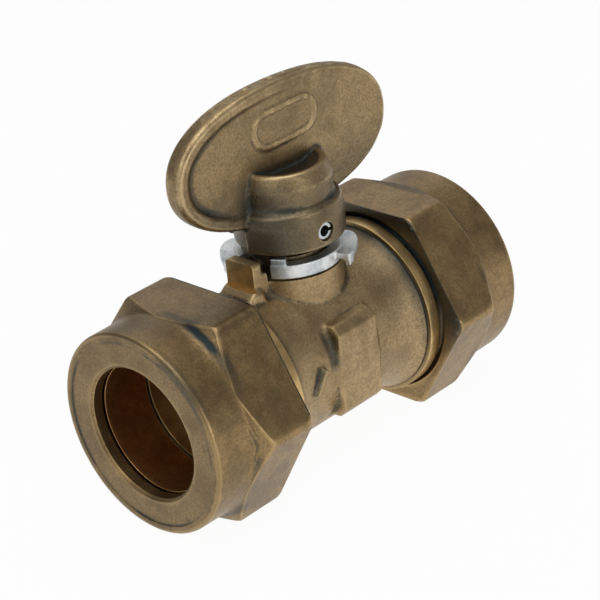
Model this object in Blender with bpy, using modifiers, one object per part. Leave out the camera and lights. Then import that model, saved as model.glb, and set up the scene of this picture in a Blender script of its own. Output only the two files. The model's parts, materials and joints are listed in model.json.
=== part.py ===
"""Straight compression isolating cock for 15 mm tube, turned by a cast fan lever.

The tube runs along X, the stem stands along +Z, and the two compression nuts lie on a flat each.
The origin is on that resting plane, under the point where the stem axis meets the tube axis.
Heights named ..._Z are counted from the tube axis, and distances named ..._X run along it.
"""

import math

import bmesh
import bpy
from mathutils import Matrix

MM = 0.001

# Tube socket and the walls round it, from the tube outwards.
TUBE_RADIUS = 7.5 * MM
TUBE_PLAY = 0.1 * MM
SPIGOT_WALL = 2.7 * MM
THREAD_CLEARANCE = 0.3 * MM
NUT_WALL = 1.4 * MM
BARREL_WALL = 1.6 * MM
SOCKET_RADIUS = TUBE_RADIUS + TUBE_PLAY
THREAD_RADIUS = SOCKET_RADIUS + SPIGOT_WALL
NUT_THREAD_RADIUS = THREAD_RADIUS + THREAD_CLEARANCE
HEX_APOTHEM = NUT_THREAD_RADIUS + NUT_WALL
BARREL_RADIUS = SOCKET_RADIUS + BARREL_WALL
WATERWAY_RADIUS = 5.0 * MM

# Ball, seats and stops along the tube axis, from the middle outwards.
BALL_PLAY = 0.4 * MM
BALL_RADIUS = SOCKET_RADIUS - BALL_PLAY
PORT_STEP = 0.5 * MM
PORT_RADIUS = WATERWAY_RADIUS - PORT_STEP
SEAT_BACKING = 0.3 * MM
STOP_WALL = 2.5 * MM
SOCKET_DEPTH = 9.3 * MM
MOUTH_CONE_LENGTH = 2.7 * MM
MOUTH_CONE_RISE = 1.3 * MM
MOUTH_STEP = 0.4 * MM
SEAT_SHOULDER_X = BALL_RADIUS + SEAT_BACKING
TUBE_STOP_X = SEAT_SHOULDER_X + STOP_WALL
SPIGOT_END_X = TUBE_STOP_X + SOCKET_DEPTH
SPIGOT_CHAMFER = 0.5 * MM

# Olive: the soft ring that the nut squeezes on to the tube.
OLIVE_ENTRY = 2.3 * MM
OLIVE_LENGTH = 6.1 * MM
OLIVE_LIP = 0.2 * MM
OLIVE_RISE = 1.05 * MM
OLIVE_TAPER = 2.4 * MM
OLIVE_INNER_X = SPIGOT_END_X - OLIVE_ENTRY
OLIVE_OUTER_X = OLIVE_INNER_X + OLIVE_LENGTH

# Compression nut.
NUT_CONE_GAP = 0.35 * MM
NUT_LAND_LENGTH = 1.58 * MM
NUT_LENGTH = 12.5 * MM
NUT_MOUTH_PLAY = 0.12 * MM
NUT_MOUTH_CHAMFER = 0.3 * MM
NUT_CONE_LENGTH = 2.1 * MM
NUT_CONE_RISE = 2.3 * MM
NUT_BOSS_STEP = 0.15 * MM
NUT_FACE_STEP = 0.82 * MM
NUT_FACE_CHAMFER = 0.7 * MM
NUT_RIDGE_LENGTH = 5.9 * MM
NUT_SHOULDER_SLOPE = 1.5
NUT_BACK_CHAMFER = 0.42 * MM
NUT_MOUTH_RADIUS = SOCKET_RADIUS + NUT_MOUTH_PLAY
NUT_LAND_X = OLIVE_OUTER_X + NUT_CONE_GAP
NUT_FACE_X = NUT_LAND_X + NUT_LAND_LENGTH
NUT_BACK_X = NUT_FACE_X - NUT_LENGTH
NUT_BOSS_RADIUS = HEX_APOTHEM - NUT_BOSS_STEP
HEX_CORNER_RADIUS = HEX_APOTHEM / math.cos(math.radians(30))

# Outside of the forged body.
NUT_BACK_GAP = 0.33 * MM
SHOULDER_WIDTH = 1.2 * MM
SHOULDER_STEP = 0.6 * MM
BELL_STEP = 1.2 * MM
BELL_LENGTH = 4.7 * MM
BELL_POINTS = 6
BELL_RADIUS = BARREL_RADIUS + BELL_STEP
SHOULDER_RADIUS = THREAD_RADIUS + SHOULDER_STEP
SHOULDER_X = NUT_BACK_X - NUT_BACK_GAP
BELL_X = SHOULDER_X - SHOULDER_WIDTH
PAD_HALF_LENGTH = 3.25 * MM
PAD_HALF_HEIGHT = 5.7 * MM
PAD_PROUD = 0.3 * MM
PAD_CHAMFER = 1.0 * MM
MARK_X = -6.45 * MM
MARK_Z = 0.5 * MM
MARK_LENGTH = 3.0 * MM
MARK_WIDTH = 0.6 * MM
MARK_PROUD = 0.3 * MM
MARK_LEAN = math.radians(34)

# Stem and its gland, upwards from the ball.
STEM_RADIUS = 3.0 * MM
STEM_PLAY = 0.3 * MM
FLANGE_STEP = 0.9 * MM
FLANGE_PLAY = 0.3 * MM
FLANGE_THICKNESS = 0.95 * MM
WASHER_THICKNESS = 0.5 * MM
GLAND_GAP = 0.15 * MM
TANG_HALF_THICKNESS = 1.15 * MM
TANG_HALF_WIDTH = 3.2 * MM
TANG_DEPTH = 1.45 * MM
TANG_PLAY = 0.25 * MM
GLAND_RADIUS = STEM_RADIUS + STEM_PLAY
FLANGE_RADIUS = STEM_RADIUS + FLANGE_STEP
COUNTERBORE_RADIUS = FLANGE_RADIUS + FLANGE_PLAY
FLANGE_Z = SOCKET_RADIUS + GLAND_GAP
WASHER_Z = FLANGE_Z + FLANGE_THICKNESS + GLAND_GAP
GLAND_Z = WASHER_Z + WASHER_THICKNESS + GLAND_GAP
TANG_Z = BALL_RADIUS - TANG_DEPTH
O_RING_SECTION = 0.5 * MM
O_RING_SQUEEZE_GAP = 0.18 * MM
O_RING_FLOOR_GAP = 0.12 * MM
O_RING_SIDE_GAP = 0.12 * MM
O_RING_EDGE = 0.25 * MM
O_RING_LAND = 0.4 * MM
O_RING_CENTRE_RADIUS = GLAND_RADIUS - O_RING_SQUEEZE_GAP - O_RING_SECTION
GROOVE_RADIUS = O_RING_CENTRE_RADIUS - O_RING_SECTION - O_RING_FLOOR_GAP
GROOVE_WIDTH = 2 * (O_RING_SECTION + O_RING_SIDE_GAP)
O_RING_PITCH = GROOVE_WIDTH + O_RING_LAND
LOWER_GROOVE_Z = GLAND_Z + O_RING_EDGE
UPPER_GROOVE_Z = LOWER_GROOVE_Z + O_RING_PITCH

# Neck, stop ring and lug.
COLLAR_WALL = 2.65 * MM
COLLAR_RISE = 1.15 * MM
COLLAR_EDGE = 0.2 * MM
COLLAR_FILLET = 1.1 * MM
NECK_WALL = 1.1 * MM
RING_GAP = 0.3 * MM
RING_PLAY = 0.3 * MM
RING_THICKNESS = 1.6 * MM
RING_OVERHANG = 0.1 * MM
EAR_REACH = 1.7 * MM
EAR_DROP = 0.2 * MM
EAR_THICKNESS = 0.7 * MM
EAR_AZIMUTHS = (131.0, -49.0)
EAR_HALF_ANGLE = 29.0
EAR_POINTS = 14
EAR_CORNER_POWER = 8
LEG_THICKNESS = 0.55 * MM
LEG_SPAN = 8.0
STOP_RISE = 0.8 * MM
STOP_SPAN = 17.0
LUG_RING_GAP = 0.35 * MM
LUG_HALF_WIDTH = 2.1 * MM
LUG_THICKNESS = 1.5 * MM
LUG_KEY_DEPTH = 0.65 * MM
LUG_ROOT = 1.5 * MM
LUG_RISE = 0.85 * MM
LUG_KEY_DROP = 0.55 * MM
LUG_BEVEL = 0.2 * MM
COLLAR_RADIUS = GLAND_RADIUS + COLLAR_WALL
NECK_RADIUS = GLAND_RADIUS + NECK_WALL
COLLAR_Z = GLAND_Z + COLLAR_RISE
RING_Z = COLLAR_Z + RING_GAP
RING_TOP_Z = RING_Z + RING_THICKNESS
RING_RADIUS = COLLAR_RADIUS + RING_OVERHANG
RING_BORE_RADIUS = NECK_RADIUS + RING_PLAY
EAR_OUTER_RADIUS = RING_RADIUS + EAR_REACH
LUG_INNER_X = RING_RADIUS + LUG_RING_GAP
NECK_RISE = 0.35 * MM
NECK_Z = RING_TOP_Z + NECK_RISE

# Lever: hub, stop skirt, fan blade and roll pin.
SKIRT_GAP = 0.3 * MM
HUB_GAP = 1.4 * MM
HUB_RADIUS = 6.6 * MM
HUB_WALL_HEIGHT = 3.5 * MM
HUB_STEP_EDGE = 0.2 * MM
HUB_STEP_LOW = 4.35 * MM
HUB_STEP_HIGH = 4.85 * MM
HUB_STEP_WIDTH = 0.9 * MM
HUB_RELIEF = 0.65 * MM
HUB_RELIEF_HEIGHT = 2.6 * MM
HUB_RELIEF_AZIMUTHS = (128.0, 181.0)
HUB_HEIGHT = 8.85 * MM
HUB_LIP_RADIUS = 4.75 * MM
HUB_LIP_WIDTH = 0.3 * MM
HUB_LIP_DROP = 0.25 * MM
HUB_ROUND_HEIGHT = 1.75 * MM
HUB_ROUND_POINTS = 5
HUB_BOSS_GAP = 0.3 * MM
DISH_DEPTH = 1.5 * MM
DISH_POINTS = 5
STEM_HEAD_DEPTH = 6.5 * MM
STEM_HEAD_GAP = 0.3 * MM
LEVER_OPEN_ANGLE = -4.0
LEVER_TRAVEL = 90.0
SKIRT_AZIMUTHS = (134.0, 200.0)
SKIRT_STOP_GAP = 4.0
SKIRT_INSET = 0.7 * MM
SKIRT_WALL = 0.6 * MM
BLADE_HALF_LENGTH = 15.5 * MM
BLADE_HALF_HEIGHT = 8.15 * MM
BLADE_RISE = 10.3 * MM
BLADE_OFFSET = 0.2 * MM
BLADE_EXPONENT = 2.25
BLADE_POINTS = 56
BLADE_HALF_THICKNESS = 1.3 * MM
BLADE_EDGE = 0.45 * MM
RIM_WIDTH = 1.35 * MM
WEB_HALF_THICKNESS = 0.8 * MM
PANEL_CENTRE = (0.6 * MM, 2.85 * MM)
PANEL_HALF_LENGTH = 4.7 * MM
PANEL_HALF_HEIGHT = 2.2 * MM
PANEL_LEAN = math.radians(-3)
PANEL_LINE = 0.55 * MM
PANEL_PROUD = 0.3 * MM
PIN_RADIUS = 1.05 * MM
PIN_WALL = 0.42 * MM
PIN_PLAY = 0.25 * MM
PIN_SLIT_ANGLE = 20.0
PIN_RISE = 1.8 * MM
PIN_RECESS = 0.25 * MM
HUB_Z = RING_TOP_Z + HUB_GAP
PIN_Z = HUB_Z + PIN_RISE
PIN_HALF_LENGTH = HUB_RADIUS - PIN_RECESS
SKIRT_OUTER_RADIUS = RING_RADIUS - SKIRT_INSET
STEM_TOP_Z = HUB_Z + STEM_HEAD_DEPTH

# Ball seats, their O-rings and the seat retainer.
SEAT_PLAY = 0.3 * MM
SEAT_BALL_GAP = 0.25 * MM
SEAT_LIP = 0.9 * MM
SEAT_POINTS = 4
BACK_RING_INSET = 1.3 * MM
BACK_RING_SECTION = 0.52 * MM
BACK_RING_GAP = 0.13 * MM
RETAINER_SLOT_WIDTH = 1.6 * MM
RETAINER_SLOT_DEPTH = 0.9 * MM
SEAT_RADIUS = SOCKET_RADIUS - SEAT_PLAY
BACK_RING_RADIUS = SOCKET_RADIUS - BACK_RING_INSET
SEAT_SPHERE_RADIUS = BALL_RADIUS + SEAT_BALL_GAP
SEAT_BACK_X = SEAT_SHOULDER_X - SEAT_BACKING

TUBE_AXIS_HEIGHT = HEX_APOTHEM
JOIN_INSET = 0.05 * MM
LARGE_TURN_STEPS = 48
SMALL_TURN_STEPS = 32
WIRE_RING_STEPS = 24
OVERSHOOT = 1.0 * MM

ALONG_PLUS_X = (0.0, math.radians(90), 0.0)
ALONG_MINUS_X = (0.0, math.radians(-90), 0.0)
ALONG_Y = (math.radians(90), 0.0, 0.0)
UPRIGHT = (0.0, 0.0, 0.0)


# ------------------------------------------------------------------ helpers
def clear_scene():
    """Start from an empty scene."""
    for old in list(bpy.data.objects):
        bpy.data.objects.remove(old, do_unlink=True)


def make_collection(name):
    collection = bpy.data.collections.new(name)
    bpy.context.scene.collection.children.link(collection)
    return collection


def make_material(name, colour, roughness, metallic):
    material = bpy.data.materials.new(name)
    material.use_nodes = True
    shader = material.node_tree.nodes["Principled BSDF"]
    shader.inputs["Base Color"].default_value = (*colour, 1.0)
    shader.inputs["Roughness"].default_value = roughness
    shader.inputs["Metallic"].default_value = metallic
    return material


def place(name, mesh, rotation=UPRIGHT, location=(0.0, 0.0, 0.0)):
    """Put a mesh on the valve centre, where the stem axis meets the tube axis."""
    piece = bpy.data.objects.new(name, mesh)
    piece.parent = valve_centre
    piece.rotation_euler = rotation
    piece.location = location
    return piece


def finish(piece, material):
    """Make an object one of the valve's sub-parts."""
    piece.data.materials.append(material)
    piece.data.shade_smooth()
    piece.data.set_sharp_from_angle(angle=math.radians(35))
    valve.objects.link(piece)
    return piece


def tool(piece):
    """Make an object a shaping tool: a cutter, or a solid to be joined."""
    piece.hide_render = True
    piece.display_type = "WIRE"
    tools.objects.link(piece)
    return piece


def turned(name, profile, steps, closed=False, rotation=UPRIGHT, location=(0.0, 0.0, 0.0)):
    """Turn a profile of (radius, height) points, given top to bottom down its outer side."""
    mesh = bpy.data.meshes.new(name)
    points = [(radius, 0.0, height) for radius, height in profile]
    edges = [(i, i + 1) for i in range(len(points) - 1)]
    if closed:
        edges.append((len(points) - 1, 0))
    mesh.from_pydata(points, edges, [])
    piece = place(name, mesh, rotation, location)
    screw = piece.modifiers.new("turn", "SCREW")
    screw.axis = "Z"
    screw.steps = steps
    screw.render_steps = steps
    screw.use_merge_vertices = True
    screw.merge_threshold = 0.00001
    screw.use_smooth_shade = True
    return piece


def extruded(name, outlines, half_thickness, rotation=UPRIGHT, location=(0.0, 0.0, 0.0), edge=0.0):
    """Thicken a flat shape evenly to both sides, as a welded mesh.

    The first outline of (x, y) points is the outside, and any others are holes in it.
    """
    curve = bpy.data.curves.new(name, "CURVE")
    curve.dimensions = "2D"
    curve.fill_mode = "BOTH"
    curve.extrude = half_thickness - edge
    curve.bevel_depth = edge
    curve.offset = -edge
    curve.bevel_resolution = 1
    for outline in outlines:
        spline = curve.splines.new("POLY")
        spline.points.add(len(outline) - 1)
        for point, (x, y) in zip(spline.points, outline):
            point.co = (x, y, 0.0, 1.0)
        spline.use_cyclic_u = True
    flat = bpy.data.objects.new(name, curve)
    bpy.context.scene.collection.objects.link(flat)
    bpy.context.view_layer.update()
    depsgraph = bpy.context.evaluated_depsgraph_get()
    mesh = bpy.data.meshes.new_from_object(flat.evaluated_get(depsgraph))
    bpy.data.objects.remove(flat, do_unlink=True)
    work = bmesh.new()
    work.from_mesh(mesh)
    bmesh.ops.remove_doubles(work, verts=work.verts, dist=0.000002)
    bmesh.ops.recalc_face_normals(work, faces=work.faces)
    work.to_mesh(mesh)
    work.free()
    return place(name, mesh, rotation, location)


def box(name, low, high):
    """A block between two corners."""
    work = bmesh.new()
    size = [h - l for l, h in zip(low, high)]
    centre = [(h + l) / 2 for l, h in zip(low, high)]
    frame = Matrix.Translation(centre) @ Matrix.Diagonal((*size, 1.0))
    bmesh.ops.create_cube(work, size=1.0, matrix=frame)
    mesh = bpy.data.meshes.new(name)
    work.to_mesh(mesh)
    work.free()
    return place(name, mesh)


def boolean(piece, operation, other):
    """Join, cut or intersect a piece with a shaping tool."""
    change = piece.modifiers.new(f"{operation.lower()} {other.name}", "BOOLEAN")
    change.operation = operation
    change.solver = "EXACT"
    change.object = tool(other)


def polar(radius, degrees):
    return radius * math.cos(math.radians(degrees)), radius * math.sin(math.radians(degrees))


def sector(inner, outer, start, end, step=6.0):
    """Outline of a slice of a ring, between two angles in degrees."""
    count = max(2, math.ceil((end - start) / step))
    angles = [start + (end - start) * i / count for i in range(count + 1)]
    return [polar(outer, a) for a in angles] + [polar(inner, a) for a in reversed(angles)]


def ring_slice(name, inner, outer, azimuth, half_angle, low, high):
    """A slice of a ring about the stem axis, between two heights."""
    outline = sector(inner, outer, azimuth - half_angle, azimuth + half_angle)
    return extruded(name, [outline], (high - low) / 2, location=(0.0, 0.0, (high + low) / 2))


def superellipse(half_length, half_height, exponent):
    """Outline that is fuller than an ellipse when the exponent is over 2."""
    outline = []
    for i in range(BLADE_POINTS):
        angle = 2 * math.pi * i / BLADE_POINTS
        cosine, sine = math.cos(angle), math.sin(angle)
        x = math.copysign(abs(cosine) ** (2 / exponent), cosine) * half_length
        y = math.copysign(abs(sine) ** (2 / exponent), sine) * half_height
        outline.append((x, y))
    return outline


def stadium(half_length, half_height, steps=8):
    """Outline with straight sides and round ends."""
    straight = half_length - half_height
    outline = []
    for side, start in ((1, -90), (-1, 90)):
        for i in range(steps + 1):
            x, y = polar(half_height, start + 180 * i / steps)
            outline.append((side * straight + x, y))
    return outline


def ring_section(centre_radius, centre_height, section_radius, count=8):
    """Round section of a turned ring, listed down its outer side."""
    return [
        (centre_radius + section_radius * math.sin(2 * math.pi * i / count),
         centre_height + section_radius * math.cos(2 * math.pi * i / count))
        for i in range(count)
    ]


# ------------------------------------------------------------------ valve body
def body_half_profile():
    """Outside of one end of the body, from its mouth to the barrel, as (radius, x)."""
    profile = [
        (THREAD_RADIUS - SPIGOT_CHAMFER, SPIGOT_END_X),
        (THREAD_RADIUS, SPIGOT_END_X - SPIGOT_CHAMFER),
        (THREAD_RADIUS, SHOULDER_X),
        (SHOULDER_RADIUS, SHOULDER_X),
        (SHOULDER_RADIUS, BELL_X),
        (BELL_RADIUS, BELL_X),
    ]
    for i in range(1, BELL_POINTS + 1):
        along = i / BELL_POINTS
        profile.append((BARREL_RADIUS + BELL_STEP * (1 - along) ** 2, BELL_X - BELL_LENGTH * along))
    return profile


def make_body(material):
    half = body_half_profile()
    profile = [(0.0, SPIGOT_END_X)] + half + [(r, -x) for r, x in reversed(half)] + [(0.0, -SPIGOT_END_X)]
    body = turned("valve_body", profile, LARGE_TURN_STEPS, rotation=ALONG_PLUS_X)

    fillet_radius = COLLAR_RADIUS + COLLAR_FILLET
    neck = [
        (0.0, NECK_Z),
        (NECK_RADIUS - COLLAR_EDGE, NECK_Z),
        (NECK_RADIUS, NECK_Z - COLLAR_EDGE),
        (NECK_RADIUS, COLLAR_Z),
        (COLLAR_RADIUS - COLLAR_EDGE, COLLAR_Z),
        (COLLAR_RADIUS, COLLAR_Z - COLLAR_EDGE),
        (COLLAR_RADIUS, BARREL_RADIUS - COLLAR_FILLET / 2),
        (COLLAR_RADIUS + COLLAR_FILLET / 4, BARREL_RADIUS - COLLAR_FILLET),
        (fillet_radius, BARREL_RADIUS - 2 * COLLAR_FILLET),
        (fillet_radius, SOCKET_RADIUS / 2),
        (0.0, SOCKET_RADIUS / 2),
    ]
    boolean(body, "UNION", turned("neck", neck, LARGE_TURN_STEPS))

    lug_outer_x = LUG_INNER_X + LUG_THICKNESS
    lug_key_x = COLLAR_RADIUS - LUG_KEY_DEPTH
    lug_foot_z = BARREL_RADIUS - LUG_ROOT
    key_z = RING_TOP_Z - LUG_KEY_DROP
    lug_outline = [
        (-lug_outer_x, lug_foot_z),
        (-lug_key_x, lug_foot_z),
        (-lug_key_x, key_z),
        (-LUG_INNER_X, key_z),
        (-LUG_INNER_X, RING_TOP_Z + LUG_RISE),
        (-lug_outer_x, RING_TOP_Z + LUG_RISE),
    ]
    lug = extruded("lug", [lug_outline], LUG_HALF_WIDTH, rotation=ALONG_Y, edge=LUG_BEVEL)
    boolean(body, "UNION", lug)

    pad_y = BARREL_RADIUS + PAD_PROUD
    corner = PAD_HALF_HEIGHT - PAD_CHAMFER
    pad_outline = [
        (-pad_y, -corner), (PAD_CHAMFER - pad_y, -PAD_HALF_HEIGHT),
        (pad_y - PAD_CHAMFER, -PAD_HALF_HEIGHT), (pad_y, -corner),
        (pad_y, corner), (pad_y - PAD_CHAMFER, PAD_HALF_HEIGHT),
        (PAD_CHAMFER - pad_y, PAD_HALF_HEIGHT), (-pad_y, corner),
    ]
    pads = extruded("spanner_pads", [pad_outline], PAD_HALF_LENGTH)
    pads.rotation_euler = (math.radians(90), 0.0, math.radians(90))
    boolean(body, "UNION", pads)

    mark_top = BARREL_RADIUS + MARK_PROUD
    mark = box("cast_bar", (-MARK_WIDTH / 2, -mark_top, -MARK_LENGTH / 2),
               (MARK_WIDTH / 2, OVERSHOOT - BARREL_RADIUS, MARK_LENGTH / 2))
    mark.location = (MARK_X, 0.0, MARK_Z)
    mark.rotation_euler = (0.0, MARK_LEAN, 0.0)
    boolean(body, "UNION", mark)

    gland = [
        (0.0, NECK_Z + OVERSHOOT),
        (GLAND_RADIUS, NECK_Z + OVERSHOOT),
        (GLAND_RADIUS, GLAND_Z),
        (COUNTERBORE_RADIUS, GLAND_Z),
        (COUNTERBORE_RADIUS, SOCKET_RADIUS / 2),
        (0.0, SOCKET_RADIUS / 2),
    ]
    boolean(body, "DIFFERENCE", turned("gland_bore", gland, SMALL_TURN_STEPS))

    cone_x = SPIGOT_END_X - MOUTH_CONE_LENGTH
    outside_x = SPIGOT_END_X + OVERSHOOT
    cone_radius = SOCKET_RADIUS + MOUTH_STEP
    flare = cone_radius + MOUTH_CONE_RISE * (1 + OVERSHOOT / MOUTH_CONE_LENGTH)
    bore = [
        (0.0, outside_x),
        (flare, outside_x),
        (cone_radius, cone_x),
        (SOCKET_RADIUS, cone_x),
        (SOCKET_RADIUS, TUBE_STOP_X),
        (WATERWAY_RADIUS, TUBE_STOP_X),
        (WATERWAY_RADIUS, SEAT_SHOULDER_X),
        (SOCKET_RADIUS, SEAT_SHOULDER_X),
        (SOCKET_RADIUS, -cone_x),
        (cone_radius, -cone_x),
        (flare, -outside_x),
        (0.0, -outside_x),
    ]
    boolean(body, "DIFFERENCE", turned("through_bore", bore, LARGE_TURN_STEPS, rotation=ALONG_PLUS_X))
    return finish(body, material)


# ------------------------------------------------------------------ ball and seats
def make_ball(material):
    work = bmesh.new()
    bmesh.ops.create_uvsphere(work, u_segments=SMALL_TURN_STEPS, v_segments=SMALL_TURN_STEPS // 2,
                              radius=BALL_RADIUS)
    mesh = bpy.data.meshes.new("ball")
    work.to_mesh(mesh)
    work.free()
    ball = place("ball", mesh)
    reach = BALL_RADIUS + OVERSHOOT
    port = [(0.0, reach), (PORT_RADIUS, reach), (PORT_RADIUS, -reach), (0.0, -reach)]
    boolean(ball, "DIFFERENCE", turned("ball_port", port, SMALL_TURN_STEPS, rotation=ALONG_PLUS_X))
    slot_half_width = TANG_HALF_THICKNESS + TANG_PLAY
    slot_low = (-slot_half_width, -reach, TANG_Z - TANG_PLAY)
    boolean(ball, "DIFFERENCE", box("ball_slot", slot_low, (slot_half_width, reach, reach)))
    return finish(ball, material)


def make_seat(name, rotation, material):
    """Seat ring with a face hollowed to the ball and a groove for its O-ring behind."""
    lip_radius = SEAT_RADIUS - SEAT_LIP
    face = []
    for i in range(SEAT_POINTS + 1):
        radius = lip_radius + (WATERWAY_RADIUS - lip_radius) * i / SEAT_POINTS
        face.append((radius, math.sqrt(SEAT_SPHERE_RADIUS ** 2 - radius ** 2)))
    half_groove = BACK_RING_SECTION + BACK_RING_GAP
    groove_x = SEAT_BACK_X - 2 * BACK_RING_SECTION
    profile = [(SEAT_RADIUS, SEAT_BACK_X), (SEAT_RADIUS, face[0][1])] + face + [
        (WATERWAY_RADIUS, SEAT_BACK_X),
        (BACK_RING_RADIUS - half_groove, SEAT_BACK_X),
        (BACK_RING_RADIUS - half_groove, groove_x),
        (BACK_RING_RADIUS + half_groove, groove_x),
        (BACK_RING_RADIUS + half_groove, SEAT_BACK_X),
    ]
    return finish(turned(name, profile, SMALL_TURN_STEPS, True, rotation), material)


def make_seat_ring(name, rotation, material):
    centre_x = SEAT_BACK_X + BACK_RING_GAP - BACK_RING_SECTION
    profile = ring_section(BACK_RING_RADIUS, centre_x, BACK_RING_SECTION)
    return finish(turned(name, profile, WIRE_RING_STEPS, True, rotation), material)


def make_retainer(material):
    """Ring that holds the near seat in; its outer face is the near tube stop."""
    profile = [
        (SEAT_RADIUS, TUBE_STOP_X),
        (SEAT_RADIUS, SEAT_SHOULDER_X),
        (WATERWAY_RADIUS, SEAT_SHOULDER_X),
        (WATERWAY_RADIUS, TUBE_STOP_X),
    ]
    retainer = turned("seat_retainer", profile, SMALL_TURN_STEPS, True, ALONG_MINUS_X)
    slot_low = (-TUBE_STOP_X - OVERSHOOT, -RETAINER_SLOT_WIDTH / 2, -SOCKET_RADIUS)
    slot_high = (RETAINER_SLOT_DEPTH - TUBE_STOP_X, RETAINER_SLOT_WIDTH / 2, SOCKET_RADIUS)
    boolean(retainer, "DIFFERENCE", box("key_slot", slot_low, slot_high))
    return finish(retainer, material)


# ------------------------------------------------------------------ stem
def groove(low_z):
    """Three sides of an O-ring groove in the stem, listed downwards."""
    return [
        (STEM_RADIUS, low_z + GROOVE_WIDTH),
        (GROOVE_RADIUS, low_z + GROOVE_WIDTH),
        (GROOVE_RADIUS, low_z),
        (STEM_RADIUS, low_z),
    ]


def make_stem(material):
    profile = [(0.0, STEM_TOP_Z), (STEM_RADIUS, STEM_TOP_Z)]
    profile += groove(UPPER_GROOVE_Z) + groove(LOWER_GROOVE_Z)
    profile += [
        (STEM_RADIUS, FLANGE_Z + FLANGE_THICKNESS),
        (FLANGE_RADIUS, FLANGE_Z + FLANGE_THICKNESS),
        (FLANGE_RADIUS, FLANGE_Z),
        (0.0, FLANGE_Z),
    ]
    stem = turned("stem", profile, SMALL_TURN_STEPS)
    tang_low = (-TANG_HALF_THICKNESS, -TANG_HALF_WIDTH, TANG_Z)
    tang_high = (TANG_HALF_THICKNESS, TANG_HALF_WIDTH, FLANGE_Z + FLANGE_THICKNESS / 2)
    boolean(stem, "UNION", box("tang", tang_low, tang_high))
    boolean(stem, "DIFFERENCE", pin_hole("stem_pin_hole"))
    return finish(stem, material)


def make_thrust_washer(material):
    profile = [
        (FLANGE_RADIUS, WASHER_Z + WASHER_THICKNESS),
        (FLANGE_RADIUS, WASHER_Z),
        (GLAND_RADIUS, WASHER_Z),
        (GLAND_RADIUS, WASHER_Z + WASHER_THICKNESS),
    ]
    return finish(turned("thrust_washer", profile, SMALL_TURN_STEPS, True), material)


def make_stem_ring(name, groove_z, material):
    profile = ring_section(O_RING_CENTRE_RADIUS, groove_z + GROOVE_WIDTH / 2, O_RING_SECTION)
    return finish(turned(name, profile, WIRE_RING_STEPS, True), material)


# ------------------------------------------------------------------ stop ring
def ear_outline(middle, square_side):
    """Flat ear, square at the end that carries the leg and rounded at the other."""
    inside = (RING_BORE_RADIUS + RING_RADIUS) / 2
    square_end = middle + square_side * EAR_HALF_ANGLE
    span = 2 * square_side * EAR_HALF_ANGLE
    shares = [math.sin(math.pi / 2 * i / EAR_POINTS) for i in range(EAR_POINTS + 1)]
    outline = []
    for share in shares:
        reach = (EAR_OUTER_RADIUS - inside) * math.sqrt(1 - share ** EAR_CORNER_POWER)
        outline.append(polar(inside + reach, square_end - span * share))
    for share in reversed(shares[:-1]):
        outline.append(polar(inside, square_end - span * share))
    return outline


def make_stop_ring(material):
    """Plated ring keyed on the neck by the lug, with ears, legs and two stops."""
    profile = [
        (RING_RADIUS, RING_TOP_Z),
        (RING_RADIUS, RING_Z),
        (RING_BORE_RADIUS, RING_Z),
        (RING_BORE_RADIUS, RING_TOP_Z),
    ]
    ring = turned("stop_ring", profile, LARGE_TURN_STEPS, True)
    ear_z = RING_TOP_Z - EAR_DROP - EAR_THICKNESS / 2
    for number, (middle, square_side) in enumerate(zip(EAR_AZIMUTHS, (1, -1)), 1):
        outline = ear_outline(middle, square_side)
        ear = extruded(f"ear_{number}", [outline], EAR_THICKNESS / 2, location=(0.0, 0.0, ear_z))
        boolean(ring, "UNION", ear)
        leg_middle = middle + square_side * (EAR_HALF_ANGLE - LEG_SPAN / 2 - 1.0)
        leg = ring_slice(f"leg_{number}", EAR_OUTER_RADIUS - LEG_THICKNESS, EAR_OUTER_RADIUS - JOIN_INSET,
                         leg_middle, LEG_SPAN / 2, RING_Z, ear_z)
        boolean(ring, "UNION", leg)
    stop_half_span = STOP_SPAN / 2
    open_stop = SKIRT_AZIMUTHS[1] + SKIRT_STOP_GAP + stop_half_span
    closed_stop = SKIRT_AZIMUTHS[0] - LEVER_TRAVEL - SKIRT_STOP_GAP - stop_half_span
    for name, azimuth in (("open_stop", open_stop), ("closed_stop", closed_stop)):
        stop = ring_slice(name, RING_BORE_RADIUS + JOIN_INSET, RING_RADIUS - JOIN_INSET, azimuth,
                          stop_half_span, RING_TOP_Z - RING_THICKNESS / 2, RING_TOP_Z + STOP_RISE)
        boolean(ring, "UNION", stop)
    gap = LUG_HALF_WIDTH + RING_PLAY
    gap_low = (-EAR_OUTER_RADIUS, -gap, RING_Z - OVERSHOOT)
    gap_high = (0.0, gap, RING_TOP_Z + 2 * OVERSHOOT)
    boolean(ring, "DIFFERENCE", box("lug_gap", gap_low, gap_high))
    return finish(ring, material)


# ------------------------------------------------------------------ lever and pin
def pin_hole(name):
    """Cutter for the roll pin's cross hole."""
    radius = PIN_RADIUS + PIN_PLAY
    reach = HUB_RADIUS + OVERSHOOT
    profile = [(0.0, reach), (radius, reach), (radius, -reach), (0.0, -reach)]
    hole = turned(name, profile, WIRE_RING_STEPS)
    hole.rotation_euler = (math.radians(90), 0.0, math.radians(LEVER_OPEN_ANGLE))
    hole.location = (0.0, 0.0, PIN_Z)
    return hole


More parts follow.
